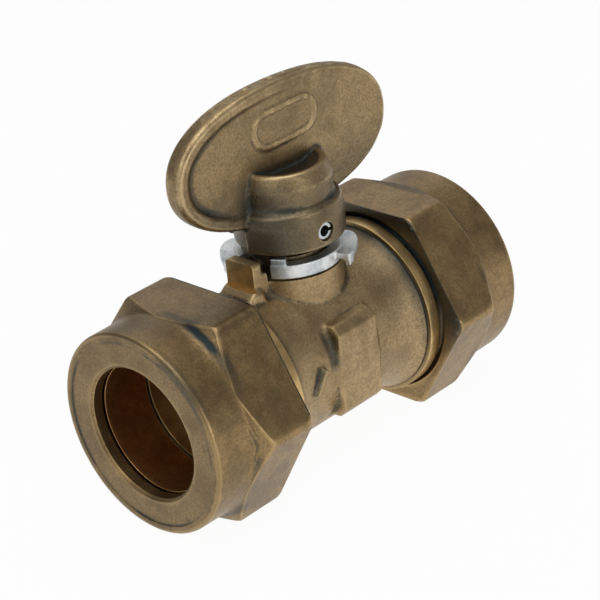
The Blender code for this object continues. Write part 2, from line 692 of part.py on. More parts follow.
def hub_profile():
    """Outside of the hub, top to bottom, with the dish in its top and the boss that rides on the neck."""
    top_z = HUB_Z + HUB_HEIGHT
    profile = []
    for i in range(DISH_POINTS + 1):
        angle = math.pi / 2 * i / DISH_POINTS
        dish_radius = (HUB_LIP_RADIUS - HUB_LIP_WIDTH) * math.sin(angle)
        profile.append((dish_radius, top_z - DISH_DEPTH * math.cos(angle)))
    step_radius = HUB_RADIUS - HUB_STEP_WIDTH
    round_top = HUB_LIP_RADIUS + HUB_LIP_WIDTH
    for i in range(HUB_ROUND_POINTS + 1):
        angle = math.pi / 2 * i / HUB_ROUND_POINTS
        radius = round_top + (step_radius - round_top) * math.sin(angle)
        profile.append((radius, top_z - HUB_LIP_DROP - HUB_ROUND_HEIGHT * (1 - math.cos(angle))))
    profile += [
        (step_radius, HUB_Z + HUB_STEP_HIGH),
        (HUB_RADIUS - HUB_STEP_EDGE, HUB_Z + HUB_STEP_LOW),
        (HUB_RADIUS, HUB_Z + HUB_WALL_HEIGHT),
        (HUB_RADIUS, HUB_Z),
        (NECK_RADIUS, HUB_Z),
        (NECK_RADIUS, NECK_Z + HUB_BOSS_GAP),
        (0.0, NECK_Z + HUB_BOSS_GAP),
    ]
    return profile


def make_lever(material):
    turn = (0.0, 0.0, math.radians(LEVER_OPEN_ANGLE))
    centre_z = HUB_Z + BLADE_RISE
    outline = superellipse(BLADE_HALF_LENGTH, BLADE_HALF_HEIGHT, BLADE_EXPONENT)
    lever = extruded("lever", [outline], BLADE_HALF_THICKNESS, edge=BLADE_EDGE)
    upended = Matrix.Rotation(math.radians(90), 4, "X")
    lever.data.transform(Matrix.Translation((BLADE_OFFSET, 0.0, centre_z)) @ upended)
    lever.rotation_euler = turn

    recess_outline = superellipse(BLADE_HALF_LENGTH - RIM_WIDTH, BLADE_HALF_HEIGHT - RIM_WIDTH,
                                  BLADE_EXPONENT)
    for name, side in (("front_recess", -1), ("back_recess", 1)):
        recess = extruded(name, [recess_outline], OVERSHOOT, turn)
        away = side * (WEB_HALF_THICKNESS + OVERSHOOT)
        recess.data.transform(Matrix.Translation((BLADE_OFFSET, away, centre_z)) @ upended)
        boolean(lever, "DIFFERENCE", recess)

    frame_outlines = [
        stadium(PANEL_HALF_LENGTH, PANEL_HALF_HEIGHT),
        stadium(PANEL_HALF_LENGTH - PANEL_LINE, PANEL_HALF_HEIGHT - PANEL_LINE),
    ]
    frame_half_depth = (WEB_HALF_THICKNESS + PANEL_PROUD) / 2
    frame = extruded("panel_frame", frame_outlines, frame_half_depth, turn)
    frame_shift = Matrix.Translation((PANEL_CENTRE[0], -frame_half_depth, centre_z + PANEL_CENTRE[1]))
    frame.data.transform(frame_shift @ Matrix.Rotation(-PANEL_LEAN, 4, "Y") @ upended)
    boolean(lever, "UNION", frame)

    boolean(lever, "UNION", turned("hub", hub_profile(), LARGE_TURN_STEPS))
    relief_middle = sum(HUB_RELIEF_AZIMUTHS) / 2
    relief_half_angle = (HUB_RELIEF_AZIMUTHS[1] - HUB_RELIEF_AZIMUTHS[0]) / 2
    boolean(lever, "DIFFERENCE", ring_slice("hub_relief", HUB_RADIUS - HUB_RELIEF, HUB_RADIUS + OVERSHOOT,
                                            relief_middle, relief_half_angle, HUB_Z - OVERSHOOT,
                                            HUB_Z + HUB_RELIEF_HEIGHT))
    skirt_low = RING_TOP_Z + SKIRT_GAP
    skirt_middle = sum(SKIRT_AZIMUTHS) / 2
    skirt_half_angle = (SKIRT_AZIMUTHS[1] - SKIRT_AZIMUTHS[0]) / 2
    boolean(lever, "UNION", ring_slice("stop_skirt", SKIRT_OUTER_RADIUS - SKIRT_WALL, SKIRT_OUTER_RADIUS,
                                       skirt_middle, skirt_half_angle, skirt_low, HUB_Z + OVERSHOOT))

    head_radius = STEM_RADIUS + STEM_PLAY
    head_z = STEM_TOP_Z + STEM_HEAD_GAP
    low_z = NECK_Z - OVERSHOOT
    socket = [(0.0, head_z), (head_radius, head_z), (head_radius, low_z), (0.0, low_z)]
    boolean(lever, "DIFFERENCE", pin_hole("hub_pin_hole"))
    boolean(lever, "DIFFERENCE", turned("stem_socket", socket, SMALL_TURN_STEPS))
    return finish(lever, material)


def make_roll_pin(material):
    outline = sector(PIN_RADIUS - PIN_WALL, PIN_RADIUS, PIN_SLIT_ANGLE, 360 - PIN_SLIT_ANGLE, 20.0)
    pin = extruded("roll_pin", [outline], PIN_HALF_LENGTH)
    pin.rotation_euler = (math.radians(90), 0.0, math.radians(LEVER_OPEN_ANGLE))
    pin.location = (0.0, 0.0, PIN_Z)
    return finish(pin, material)


# ------------------------------------------------------------------ olives and nuts
def make_olive(name, rotation, material):
    lip = SOCKET_RADIUS + OLIVE_LIP
    crown = lip + OLIVE_RISE
    profile = [
        (lip, OLIVE_OUTER_X),
        (crown, OLIVE_OUTER_X - OLIVE_TAPER),
        (crown, OLIVE_INNER_X + OLIVE_TAPER),
        (lip, OLIVE_INNER_X),
        (SOCKET_RADIUS, OLIVE_INNER_X),
        (SOCKET_RADIUS, OLIVE_OUTER_X),
    ]
    return finish(turned(name, profile, LARGE_TURN_STEPS, True, rotation), material)


def nut_outer_profile():
    """Turned outside of the nut, as (radius, x), with cones that scallop its flats."""
    beyond = HEX_CORNER_RADIUS + NUT_BACK_CHAMFER
    ridge_x = NUT_BACK_X + NUT_RIDGE_LENGTH
    boss_x = ridge_x + (HEX_CORNER_RADIUS - NUT_BOSS_RADIUS) / NUT_SHOULDER_SLOPE
    cone_x = ridge_x - (beyond - HEX_CORNER_RADIUS) / NUT_SHOULDER_SLOPE
    return [
        (0.0, NUT_FACE_X),
        (NUT_BOSS_RADIUS - NUT_FACE_STEP, NUT_FACE_X),
        (NUT_BOSS_RADIUS, NUT_FACE_X - NUT_FACE_CHAMFER),
        (NUT_BOSS_RADIUS, boss_x),
        (beyond, cone_x),
        (beyond, NUT_BACK_X + 2 * NUT_BACK_CHAMFER),
        (HEX_CORNER_RADIUS - NUT_BACK_CHAMFER, NUT_BACK_X),
        (0.0, NUT_BACK_X),
    ]


def nut_bore_profile():
    """Threaded bore, cone that presses the olive, land and mouth."""
    outside_x = NUT_FACE_X + OVERSHOOT
    cone_x = NUT_LAND_X - NUT_CONE_LENGTH
    return [
        (0.0, outside_x),
        (NUT_MOUTH_RADIUS + NUT_MOUTH_CHAMFER + OVERSHOOT, outside_x),
        (NUT_MOUTH_RADIUS, NUT_FACE_X - NUT_MOUTH_CHAMFER),
        (NUT_MOUTH_RADIUS, NUT_LAND_X),
        (NUT_MOUTH_RADIUS + NUT_CONE_RISE, cone_x),
        (NUT_THREAD_RADIUS, cone_x),
        (NUT_THREAD_RADIUS, NUT_BACK_X - OVERSHOOT),
        (0.0, NUT_BACK_X - OVERSHOOT),
    ]


def make_nut(name, rotation, material):
    """Hexagon with its flats up and down, a round boss and a chamfered face."""
    nut = turned(name, nut_outer_profile(), LARGE_TURN_STEPS, rotation=rotation)
    work = bmesh.new()
    length = NUT_LENGTH + 2 * OVERSHOOT
    middle = (NUT_FACE_X + NUT_BACK_X) / 2
    bmesh.ops.create_cone(work, cap_ends=True, segments=6, radius1=HEX_CORNER_RADIUS,
                          radius2=HEX_CORNER_RADIUS, depth=length,
                          matrix=Matrix.Translation((0.0, 0.0, middle)))
    mesh = bpy.data.meshes.new(f"{name}_hexagon")
    work.to_mesh(mesh)
    work.free()
    boolean(nut, "INTERSECT", place(f"{name}_hexagon", mesh, rotation))
    bore = turned(f"{name}_bore", nut_bore_profile(), LARGE_TURN_STEPS, rotation=rotation)
    boolean(nut, "DIFFERENCE", bore)
    return finish(nut, material)


# ------------------------------------------------------------------ assembly
clear_scene()
valve = make_collection("isolating_cock")
tools = make_collection("shaping_tools")
valve_centre = bpy.data.objects.new("valve_centre", None)
valve_centre.location = (0.0, 0.0, TUBE_AXIS_HEIGHT)
valve.objects.link(valve_centre)

forged_brass = make_material("forged_brass", (0.34, 0.25, 0.14), 0.45, 0.9)
turned_brass = make_material("turned_brass", (0.30, 0.20, 0.10), 0.40, 0.9)
cast_brass = make_material("cast_brass", (0.33, 0.24, 0.13), 0.50, 0.9)
olive_brass = make_material("olive_brass", (0.55, 0.28, 0.09), 0.35, 0.9)
retainer_brass = make_material("retainer_brass", (0.50, 0.36, 0.16), 0.35, 0.9)
stem_brass = make_material("stem_brass", (0.55, 0.42, 0.22), 0.30, 0.9)
plated_steel = make_material("plated_steel", (0.70, 0.74, 0.76), 0.30, 0.9)
pin_steel = make_material("pin_steel", (0.55, 0.58, 0.60), 0.30, 0.9)
plated_ball = make_material("plated_ball", (0.75, 0.76, 0.78), 0.10, 1.0)
seat_polymer = make_material("seat_polymer", (0.85, 0.85, 0.82), 0.50, 0.0)
seal_rubber = make_material("seal_rubber", (0.02, 0.02, 0.02), 0.60, 0.0)

make_body(forged_brass)
make_ball(plated_ball)
make_seat("near_seat", ALONG_MINUS_X, seat_polymer)
make_seat("far_seat", ALONG_PLUS_X, seat_polymer)
make_seat_ring("near_seat_o_ring", ALONG_MINUS_X, seal_rubber)
make_seat_ring("far_seat_o_ring", ALONG_PLUS_X, seal_rubber)
make_retainer(retainer_brass)
make_stem(stem_brass)
make_thrust_washer(seat_polymer)
make_stem_ring("lower_stem_o_ring", LOWER_GROOVE_Z, seal_rubber)
make_stem_ring("upper_stem_o_ring", UPPER_GROOVE_Z, seal_rubber)
make_stop_ring(plated_steel)
make_lever(cast_brass)
make_roll_pin(pin_steel)
make_olive("near_olive", ALONG_MINUS_X, olive_brass)
make_olive("far_olive", ALONG_PLUS_X, olive_brass)
make_nut("near_nut", ALONG_MINUS_X, turned_brass)
make_nut("far_nut", ALONG_PLUS_X, turned_brass)
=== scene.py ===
# %% [markdown]
# # A brass isolating cock with a fan lever
#
# A straight valve for 15 mm tube: a forged body, a compression nut at each end, and a cast lever
# that turns a ball through a quarter turn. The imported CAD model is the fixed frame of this
# lesson. Each visible piece is made again here with the roundings, threads and skins that forging
# and turning leave, and takes the place of its plain CAD node.

import json
import math

import bmesh
import bpy
import numpy as np
from mathutils import Matrix, Vector, noise

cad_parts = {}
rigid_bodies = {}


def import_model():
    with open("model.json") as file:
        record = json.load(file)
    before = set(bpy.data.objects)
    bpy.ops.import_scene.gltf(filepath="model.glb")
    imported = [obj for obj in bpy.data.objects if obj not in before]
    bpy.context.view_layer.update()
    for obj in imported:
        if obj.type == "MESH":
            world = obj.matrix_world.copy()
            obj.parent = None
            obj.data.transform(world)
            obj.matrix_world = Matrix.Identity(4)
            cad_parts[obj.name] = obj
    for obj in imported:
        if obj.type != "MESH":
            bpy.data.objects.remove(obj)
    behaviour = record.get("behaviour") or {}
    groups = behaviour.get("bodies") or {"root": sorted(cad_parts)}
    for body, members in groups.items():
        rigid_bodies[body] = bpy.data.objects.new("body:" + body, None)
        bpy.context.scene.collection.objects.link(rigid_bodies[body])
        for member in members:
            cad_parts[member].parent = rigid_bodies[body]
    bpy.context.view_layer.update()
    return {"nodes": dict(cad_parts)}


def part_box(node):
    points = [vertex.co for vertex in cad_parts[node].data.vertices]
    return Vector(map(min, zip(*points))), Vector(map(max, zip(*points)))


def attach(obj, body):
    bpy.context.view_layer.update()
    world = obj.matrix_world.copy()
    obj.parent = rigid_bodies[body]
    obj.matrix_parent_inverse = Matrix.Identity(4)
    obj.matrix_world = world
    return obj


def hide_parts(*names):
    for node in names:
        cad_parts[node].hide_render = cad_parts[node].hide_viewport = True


for leftover in list(bpy.data.objects):
    bpy.data.objects.remove(leftover, do_unlink=True)
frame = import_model()
nut_low, nut_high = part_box("near_nut")
tube_height = (nut_low.z + nut_high.z) / 2

# %% [markdown]
# ## A bench in millimetres
#
# Small parts are easier to read in millimetres. Every shape below is drawn round the point where
# the stem axis meets the tube axis, and one matrix carries it to metres and to the frame. A
# finished piece names the CAD node that it stands for, the body that it rides on and its material
# slot.
#
# Edges wear bright and hollows keep dirt, so each finished mesh also stores how sharply it bends
# at every point. The finishes read that number back.

# %% From the bench to the frame
bench_to_frame = Matrix.Translation((0, 0, tube_height)) @ Matrix.Scale(0.001, 4)
TOWARDS_NEAR = Matrix.Rotation(math.radians(-90), 4, "Y")
TOWARDS_FAR = Matrix.Rotation(math.radians(90), 4, "Y")
UPRIGHT = Matrix.Identity(4)
SIDES = {"near": TOWARDS_NEAR, "far": TOWARDS_FAR}


def to_object(name, shape):
    """Puts a bmesh into a new object, still in millimetres."""
    mesh = bpy.data.meshes.new(name)
    shape.to_mesh(mesh)
    shape.free()
    piece = bpy.data.objects.new(name, mesh)
    bpy.context.scene.collection.objects.link(piece)
    return piece


def settle(piece):
    """Applies a piece's modifiers and gives its mesh back as a bmesh."""
    bpy.context.view_layer.update()
    depsgraph = bpy.context.evaluated_depsgraph_get()
    shape = bmesh.new()
    shape.from_object(piece, depsgraph)
    bpy.data.objects.remove(piece, do_unlink=True)
    return shape


SHORTEST_STEP = 0.05
SHARPEST_BEND = 3
CREASE = math.radians(35)


def measure_curvature(mesh):
    """Stores how sharply each point bends, per millimetre: hollows count up, edges down."""
    count = len(mesh.vertices)
    place = np.zeros(count * 3)
    normal = np.zeros(count * 3)
    ends = np.zeros(len(mesh.edges) * 2, dtype=np.int64)
    mesh.vertices.foreach_get("co", place)
    mesh.vertices.foreach_get("normal", normal)
    mesh.edges.foreach_get("vertices", ends)
    place = place.reshape(-1, 3) * 1000
    normal = normal.reshape(-1, 3)
    ends = ends.reshape(-1, 2)
    start = np.concatenate((ends[:, 0], ends[:, 1]))
    end = np.concatenate((ends[:, 1], ends[:, 0]))
    step = place[end] - place[start]
    length_squared = np.maximum((step ** 2).sum(axis=1), SHORTEST_STEP ** 2)
    bend = 2 * (step * normal[start]).sum(axis=1) / length_squared
    links = np.maximum(np.bincount(start, minlength=count), 1)
    curvature = np.bincount(start, weights=bend, minlength=count) / links
    curvature = np.clip(curvature, -SHARPEST_BEND, SHARPEST_BEND)
    for _ in range(2):
        around = np.bincount(start, weights=curvature[end], minlength=count) / links
        curvature = (curvature + around) / 2
    mesh.attributes.new("curvature", "FLOAT", "POINT").data.foreach_set("value", curvature)


def hand_over(name, shape, node, body, material):
    """Moves a shape to the frame, as the piece that stands for a CAD node."""
    shape.transform(bench_to_frame)
    piece = to_object(name, shape)
    measure_curvature(piece.data)
    piece.data.shade_smooth()
    piece.data.set_sharp_from_angle(angle=CREASE)
    piece.data.materials.append(material)
    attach(piece, body)
    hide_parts(node)
    size = [round(1000 * d, 2) for d in piece.dimensions]
    print(f"{name}: {len(piece.data.polygons)} faces, {size} mm")
    return piece


# %% [markdown]
# ## Turned shapes
#
# Most of this valve is turned. A lathe section is a closed outline of radius and height, and each
# of its corners gets a small round, because no real edge is perfectly sharp and the round is what
# catches the light. The section may change with the angle, so the same helper also makes a
# hexagon, a thread and an oval blade.


# %% The lathe
ROUND_STEPS = 3
ROUND_MARGIN = 0.35


def soften(corners, closed=True):
    """Rounds an outline whose corners are (radius, height, size of the round).

    A round takes less than half of each line beside it. Two more points near the ends of every line
    keep the shading of its straight part even.
    """
    points = []
    for i, (radius, height, size) in enumerate(corners):
        here = Vector((radius, height))
        before = Vector(corners[i - 1][:2]) - here
        after = Vector(corners[(i + 1) % len(corners)][:2]) - here
        reach = 0.0
        if size > 0 and min(before.length, after.length) > 1e-5:
            opening = max(before.angle(after), 0.05)
            reach = min(size / math.tan(opening / 2), 0.48 * before.length, 0.48 * after.length)
        start = here + (before.normalized() * reach if reach else Vector((0, 0)))
        end = here + (after.normalized() * reach if reach else Vector((0, 0)))
        for step in range(ROUND_STEPS + 1):
            t = step / ROUND_STEPS
            points.append(start * (1 - t) ** 2 + here * (2 * t * (1 - t)) + end * t ** 2)
        keep = min(ROUND_MARGIN, 0.25 * (after.length - reach))
        points.append(end + after.normalized() * keep)
        points.append(end + after.normalized() * max(after.length - reach - 2 * keep, keep))
    return points if closed else points[:-2]


def lathe(section, steps=96, turn=UPRIGHT):
    """Turns a closed section about the Z axis. It is a list, or a function of the angle."""
    shape = bmesh.new()
    rings = []
    for step in range(steps):
        angle = 2 * math.pi * step / steps
        outline = section(angle) if callable(section) else section
        across = Vector((math.cos(angle), math.sin(angle), 0))
        rings.append([shape.verts.new(across * r + Vector((0, 0, z))) for r, z in outline])
    for i, ring in enumerate(rings):
        following = rings[(i + 1) % steps]
        for j in range(len(ring)):
            k = (j + 1) % len(ring)
            shape.faces.new((ring[j], following[j], following[k], ring[k]))
    bmesh.ops.remove_doubles(shape, verts=shape.verts, dist=0.0005)
    bmesh.ops.dissolve_degenerate(shape, edges=shape.edges, dist=0.0001)
    bmesh.ops.recalc_face_normals(shape, faces=shape.faces)
    shape.transform(turn)
    return shape


def pipe(inner, outer, start, end, steps=96, turn=UPRIGHT):
    """A plain ring from one height to another, or a rod where inner is 0."""
    return lathe([(inner, start), (outer, start), (outer, end), (inner, end)], steps, turn)


# %% [markdown]
# ## Carving and forging
#
# Machining takes metal off, and a Boolean does that. Forging presses metal into a die that has no
# sharp inner corner. For a forged piece its rough blocks are fused by a voxel remesh and then
# smoothed, which rounds every join at once, where bevels on Boolean edges would be fragile.


# %% Cutters and dies
def carve(shape, tools, operation="DIFFERENCE"):
    """Cuts each tool out of a shape, or joins each of them to it."""
    piece = to_object("blank", shape)
    made = [to_object("tool", tool) for tool in tools]
    for tool in made:
        change = piece.modifiers.new("carve", "BOOLEAN")
        change.operation = operation
        change.solver = "MANIFOLD"
        change.object = tool
    result = settle(piece)
    for tool in made:
        bpy.data.objects.remove(tool, do_unlink=True)
    return result


def forge(shapes, grain, passes):
    """Fuses overlapping shapes into one skin with rounded joins."""
    blank = bmesh.new()
    for shape in shapes:
        mesh = bpy.data.meshes.new("blank")
        shape.to_mesh(mesh)
        shape.free()
        blank.from_mesh(mesh)
    piece = to_object("forging", blank)
    fuse = piece.modifiers.new("fuse", "REMESH")
    fuse.mode = "VOXEL"
    fuse.voxel_size = grain
    rounding = piece.modifiers.new("round", "SMOOTH")
    rounding.factor = 0.5
    rounding.iterations = passes
    return settle(piece)


def slab(outline, low, high, turn=UPRIGHT):
    """Raises a flat outline of (x, y) points from one height to another."""
    shape = bmesh.new()
    low_ring = [shape.verts.new((x, y, low)) for x, y in outline]
    high_ring = [shape.verts.new((x, y, high)) for x, y in outline]
    shape.faces.new(list(reversed(low_ring)))
    shape.faces.new(high_ring)
    for i in range(len(outline)):
        k = (i + 1) % len(outline)
        shape.faces.new((low_ring[i], low_ring[k], high_ring[k], high_ring[i]))
    bmesh.ops.recalc_face_normals(shape, faces=shape.faces)
    shape.transform(turn)
    return shape


def polar(radius, degrees):
    angle = math.radians(degrees)
    return radius * math.cos(angle), radius * math.sin(angle)


def arc_slab(inner, outer, middle, half_angle, low, high):
    """A slice of a ring about the stem axis, between two heights."""
    count = max(3, round(half_angle / 2))
    angles = [middle - half_angle + 2 * half_angle * i / count for i in range(count + 1)]
    outline = [polar(outer, a) for a in angles] + [polar(inner, a) for a in reversed(angles)]
    return slab(outline, low, high)


# %% [markdown]
# ## Shader sums
#
# A finish is worked out like a formula: how far a point lies from the tube axis, how rough the
# skin is, how much colour a patch of tarnish takes. One small class wraps a socket so that such a
# formula can be written as one, and adds the Math nodes by itself. Places are in millimetres here
# too.


# %% Signals and finishes
class Signal:
    """A number that varies over a surface."""

    def __init__(self, finish, socket):
        self.finish = finish
        self.socket = socket

    def _math(self, operation, *values):
        settings = {"operation": operation}
        return self.finish.node("ShaderNodeMath", settings, dict(enumerate(values)))

    def __add__(self, other):
        return self._math("ADD", self, other)

    __radd__ = __add__

    def __mul__(self, other):
        return self._math("MULTIPLY", self, other)

    __rmul__ = __mul__

    def __sub__(self, other):
        return self._math("SUBTRACT", self, other)

    def __rsub__(self, other):
        return self._math("SUBTRACT", other, self)

    def __pow__(self, other):
        return self._math("POWER", self, other)

    def __abs__(self):
        return self._math("ABSOLUTE", self)

    def over(self, edge, width):
        """0 below the edge and 1 above it, with a soft change."""
        return self.finish.node(
            "ShaderNodeMapRange", {"interpolation_type": "SMOOTHSTEP"},
            {"Value": self, "From Min": edge - width / 2, "From Max": edge + width / 2})

    def under(self, edge, width):
        """1 below the edge and 0 above it."""
        return 1 - self.over(edge, width)

    def near(self, place, reach, width):
        """1 within reach of a place and 0 further away."""
        return abs(self - place).under(reach, width)


class Finish:
    """A material that is built up from signals."""

    def __init__(self, name, metallic):
        self.material = bpy.data.materials.new(name)
        self.material.use_nodes = True
        self.tree = self.material.node_tree
        self.shader = self.tree.nodes["Principled BSDF"]
        self.shader.inputs["Metallic"].default_value = metallic
        metres = self.node("ShaderNodeTexCoord", output="Object")
        self.place = self.node("ShaderNodeVectorMath", {"operation": "MULTIPLY"},
                               {0: metres, 1: (1000, 1000, 1000)}, "Vector")
        parts = self.node("ShaderNodeSeparateXYZ", inputs={"Vector": self.place}, output=None)
        self.x, self.y, self.z = (Signal(self, parts.outputs[axis]) for axis in "XYZ")

    def node(self, kind, settings=None, inputs=None, output=0):
        made = self.tree.nodes.new(kind)
        for name, value in (settings or {}).items():
            setattr(made, name, value)
        for name, value in (inputs or {}).items():
            if isinstance(value, Signal):
                self.tree.links.new(value.socket, made.inputs[name])
            else:
                made.inputs[name].default_value = value
        return made if output is None else Signal(self, made.outputs[output])

    def speckle(self, size, detail=4.0, roughness=0.6):
        """Cloudy noise whose patches are about size millimetres across."""
        return self.node("ShaderNodeTexNoise", None,
                         {"Vector": self.place, "Scale": 1 / size, "Detail": detail,
                          "Roughness": roughness}, "Fac")

    def blend(self, mask, below, above):
        """One colour where the mask is 0, and another where it is 1."""
        inputs = {"Factor": mask}
        for socket, colour in ((6, below), (7, above)):
            inputs[socket] = colour if isinstance(colour, Signal) else (*colour, 1.0)
        return self.node("ShaderNodeMix", {"data_type": "RGBA"}, inputs, 2)

    def curvature(self):
        """How sharply the surface bends, from the number that hand_over stored."""
        return self.node("ShaderNodeAttribute", {"attribute_name": "curvature"}, output="Fac")

    def bump(self, height, depth):
        """Dents that are depth millimetres deep where the height runs from 0 to 1."""
        inputs = {"Strength": 1.0, "Distance": depth / 1000, "Height": height}
        self.connect("Normal", self.node("ShaderNodeBump", None, inputs, "Normal"))

    def show_white(self, share):
        """Lets the eye, a reflection and a view through glass see this surface nearly white."""
        rays = self.node("ShaderNodeLightPath", output=None)
        kinds = ("Is Camera Ray", "Is Glossy Ray", "Is Transmission Ray")
        camera_ray, glossy_ray, glass_ray = (Signal(self, rays.outputs[kind]) for kind in kinds)
        seen = camera_ray + glossy_ray + glass_ray
        glow = self.node("ShaderNodeEmission", None, {"Strength": 1.0})
        mix = self.node("ShaderNodeMixShader", None, {"Fac": seen.over(0.5, 0.5) * share}, None)
        self.tree.links.new(self.shader.outputs[0], mix.inputs[1])
        self.tree.links.new(glow.socket, mix.inputs[2])
        self.tree.links.new(mix.outputs[0], self.tree.nodes["Material Output"].inputs["Surface"])

    def connect(self, name, value):
        if isinstance(value, Signal):
            self.tree.links.new(value.socket, self.shader.inputs[name])
        else:
            self.shader.inputs[name].default_value = value


# %% [markdown]
# ## Brass skins
#
# Forged brass leaves the die with a dull skin that is blasted clean, so it has a fine even grain,
# and with age it goes brown in soft patches. Edges rub bright and golden, and hollows keep a
# blue-grey film. Where a tool has cut it, the metal is yellow and smoother. The patches and the
# grain are noise at the scale of the real marks, and the edges and hollows come from the measured
# curvature.


# %% Brass
# The dark colour of film and pores, also used for painted shade.
GRIME_AND_SHADE = (0.030, 0.040, 0.042)
FRESH_CUT = (0.76, 0.52, 0.23)


def dim(colour, share):
    """A darker shade of a colour."""
    return tuple(share * channel for channel in colour)


def brass(name, skin, tarnish, worn=(0.50, 0.37, 0.18), roughness=0.46, grain_depth=0.04,
          wear=0.45, dirt=0.75, pitting=0.0, machined=None, shade=None):
    """Dull brass: bright where machined, filmed in hollows, and darkened by painted shade from the
    shade mask.
    """
    finish = Finish(name, 0.93)
    stains = finish.speckle(6.0, 4.0, 0.6)
    mottle = finish.speckle(1.6, 4.0, 0.65)
    grain = finish.speckle(0.26, 2.0, 0.7)
    bend = finish.curvature()
    colour = finish.blend((stains * 0.65 + mottle * 0.35).over(0.5, 0.3), tarnish, skin)
    colour = finish.blend(grain.over(0.5, 0.3) * 0.4, colour, dim(tarnish, 0.5))
    edge = (bend * -1 + mottle * 1.2 - 0.6).over(0.6, 0.7) * wear
    film = (bend * 0.8 + mottle * 1.4 + stains * 2.4 - 1.95).over(0.5, 0.8) * dirt
    colour = finish.blend(edge, colour, worn)
    colour = finish.blend(film, colour, GRIME_AND_SHADE)
    rough = grain * 0.16 + mottle * 0.12 + (roughness - 0.14) - edge * 0.08 + film * 0.15
    pores = finish.speckle(0.45, 1.0, 0.5).over(0.73, 0.05) * pitting
    colour = finish.blend(pores, colour, GRIME_AND_SHADE)
    relief = grain * 0.65 + mottle * 0.35 - pores
    # Painted shade: the shade mask darkens the colour towards the dark film colour.
    if shade:
        colour = finish.blend(shade(finish) * (0.4 + 0.4 * mottle), colour, GRIME_AND_SHADE)
    if machined:
        mask = machined(finish)
        cut = finish.blend(mottle.over(0.5, 0.4), dim(FRESH_CUT, 0.7), FRESH_CUT)
        colour = finish.blend(mask, colour, cut)
        rough = rough * (1 - mask * 0.3)
        relief = relief * (1 - mask * 0.8)
    finish.connect("Base Color", colour)
    finish.connect("Roughness", rough)
    finish.bump(relief, grain_depth)
    return finish.material


# %% [markdown]
# Painted shade, dirt and tool marks sit at fixed places on the part. Each function below adds up
# soft masks, drawn from the distance along the tube, the distance from the tube axis or from the
# stem axis, and the height above the tube axis. The body's shoulders and its bar are drawn later
# from the same values.

# %% Painted shade, dirt and tool marks
SHOULDER_START = 10.6
SHOULDER_END = 12.2
BAR_PLACE = (-6.45, 0.5)
BAR_LEAN = math.radians(34)


def about_tube(finish):
    """Height above the tube axis, and distance from it."""
    height = finish.z - 1000 * tube_height
    return height, (finish.y ** 2 + height ** 2) ** 0.5


def about_stem(finish):
    """Distance from the stem axis."""
    return (finish.x ** 2 + finish.y ** 2) ** 0.5


def body_cuts(finish):
    """Where the body was machined: its shoulders, its bores and the face of its lug."""
    along = abs(finish.x)
    height, from_tube = about_tube(finish)
    shoulder = along.over(SHOULDER_START, 0.1) - along.over(SHOULDER_END, 0.1)
    bore = from_tube.under(7.9, 0.1)
    lug_face = finish.x.under(-7.85, 0.04) * height.over(10.3, 0.1)
    return (shoulder * 0.85 + bore + lug_face).over(0.5, 1.0)


def painted_hub_shade(finish):
    """Painted shade on the hub's left and in its dish; also darker low on the hub and in the rim
    fillet.
    """
    height, _ = about_tube(finish)
    from_stem = about_stem(finish)
    dish = from_stem.under(4.5, 0.6) * height.under(22.8, 0.8)
    left = finish.x.under(-3.5, 3.5) * from_stem.under(7.0, 1.2) * height.under(22.5, 3.0)
    hub = height.under(21.2, 5.0)
    rim_fillet = finish.curvature().over(0.12, 0.2) * finish.x.under(-9.5, 4.0)
    return hub * 0.68 + left * 0.5 + dish * 0.9 + rim_fillet * 0.9


def body_shade_and_marks(finish):
    """Painted shade on the neck, the threads and the hollows by pad and bar; dark shoulder seams;
    darker upper ends.
    """
    height, _ = about_tube(finish)
    along = abs(finish.x)
    neck = height.over(10.7, 0.4) * about_stem(finish).under(5.0, 0.3)
    flare = along.over(9.8, 1.6) * height.over(0, 14)
    right = finish.x.over(6.2, 4.0) * height.over(1, 6)
    line = along.near(10.52, 0.10, 0.08)
    threads = along.over(SHOULDER_END, 0.1)
    front = finish.y.under(-7.0, 1.0)
    beside_pad = finish.x.near(-3.8, 0.6, 0.6) * height.near(3.0, 2.0, 1.6)
    bar_x, bar_z = finish.x - BAR_PLACE[0], height - BAR_PLACE[1]
    across_bar = bar_x * math.cos(BAR_LEAN) - bar_z * math.sin(BAR_LEAN)
    along_bar = bar_x * math.sin(BAR_LEAN) + bar_z * math.cos(BAR_LEAN)
    beside_bar = across_bar.near(-0.55, 0.40, 0.3) * along_bar.near(0, 1.6, 0.4)
    hollows = front * (beside_pad + beside_bar)
    return neck + flare + right * 0.4 + line + threads * 0.4 + hollows * 1.2


def nut_shade_and_marks(finish):
    """Painted shade on the upper back, near face and near top; dark patches at cone, lip and a
    streak.
    """
    height, from_tube = about_tube(finish)
    along = abs(finish.x)
    near_nut = finish.x.under(0, 1.0)
    patches = finish.speckle(9.0, 3.0).over(0.52, 0.16)
    back = along.under(12.7, 0.2) * height.over(-3, 9)
    cone = along.near(19.3, 0.6, 0.8) * from_tube.under(12.7, 0.6)
    lip = along.over(24.9, 0.1) * from_tube.near(10.8, 0.2, 0.3)
    edge = along.over(24.2, 1.0) * from_tube.over(10.7, 0.4)
    face = along.over(24.8, 0.1)
    streak = near_nut * finish.y.near(-7.2, 2.8, 2.6) * height.over(2, 4)
    top = near_nut * height.over(11.3, 1.0)
    return (back * 1.4 + (cone + lip) * patches + (cone + edge * 0.8) * streak + face * 0.35
            + top * 0.4)


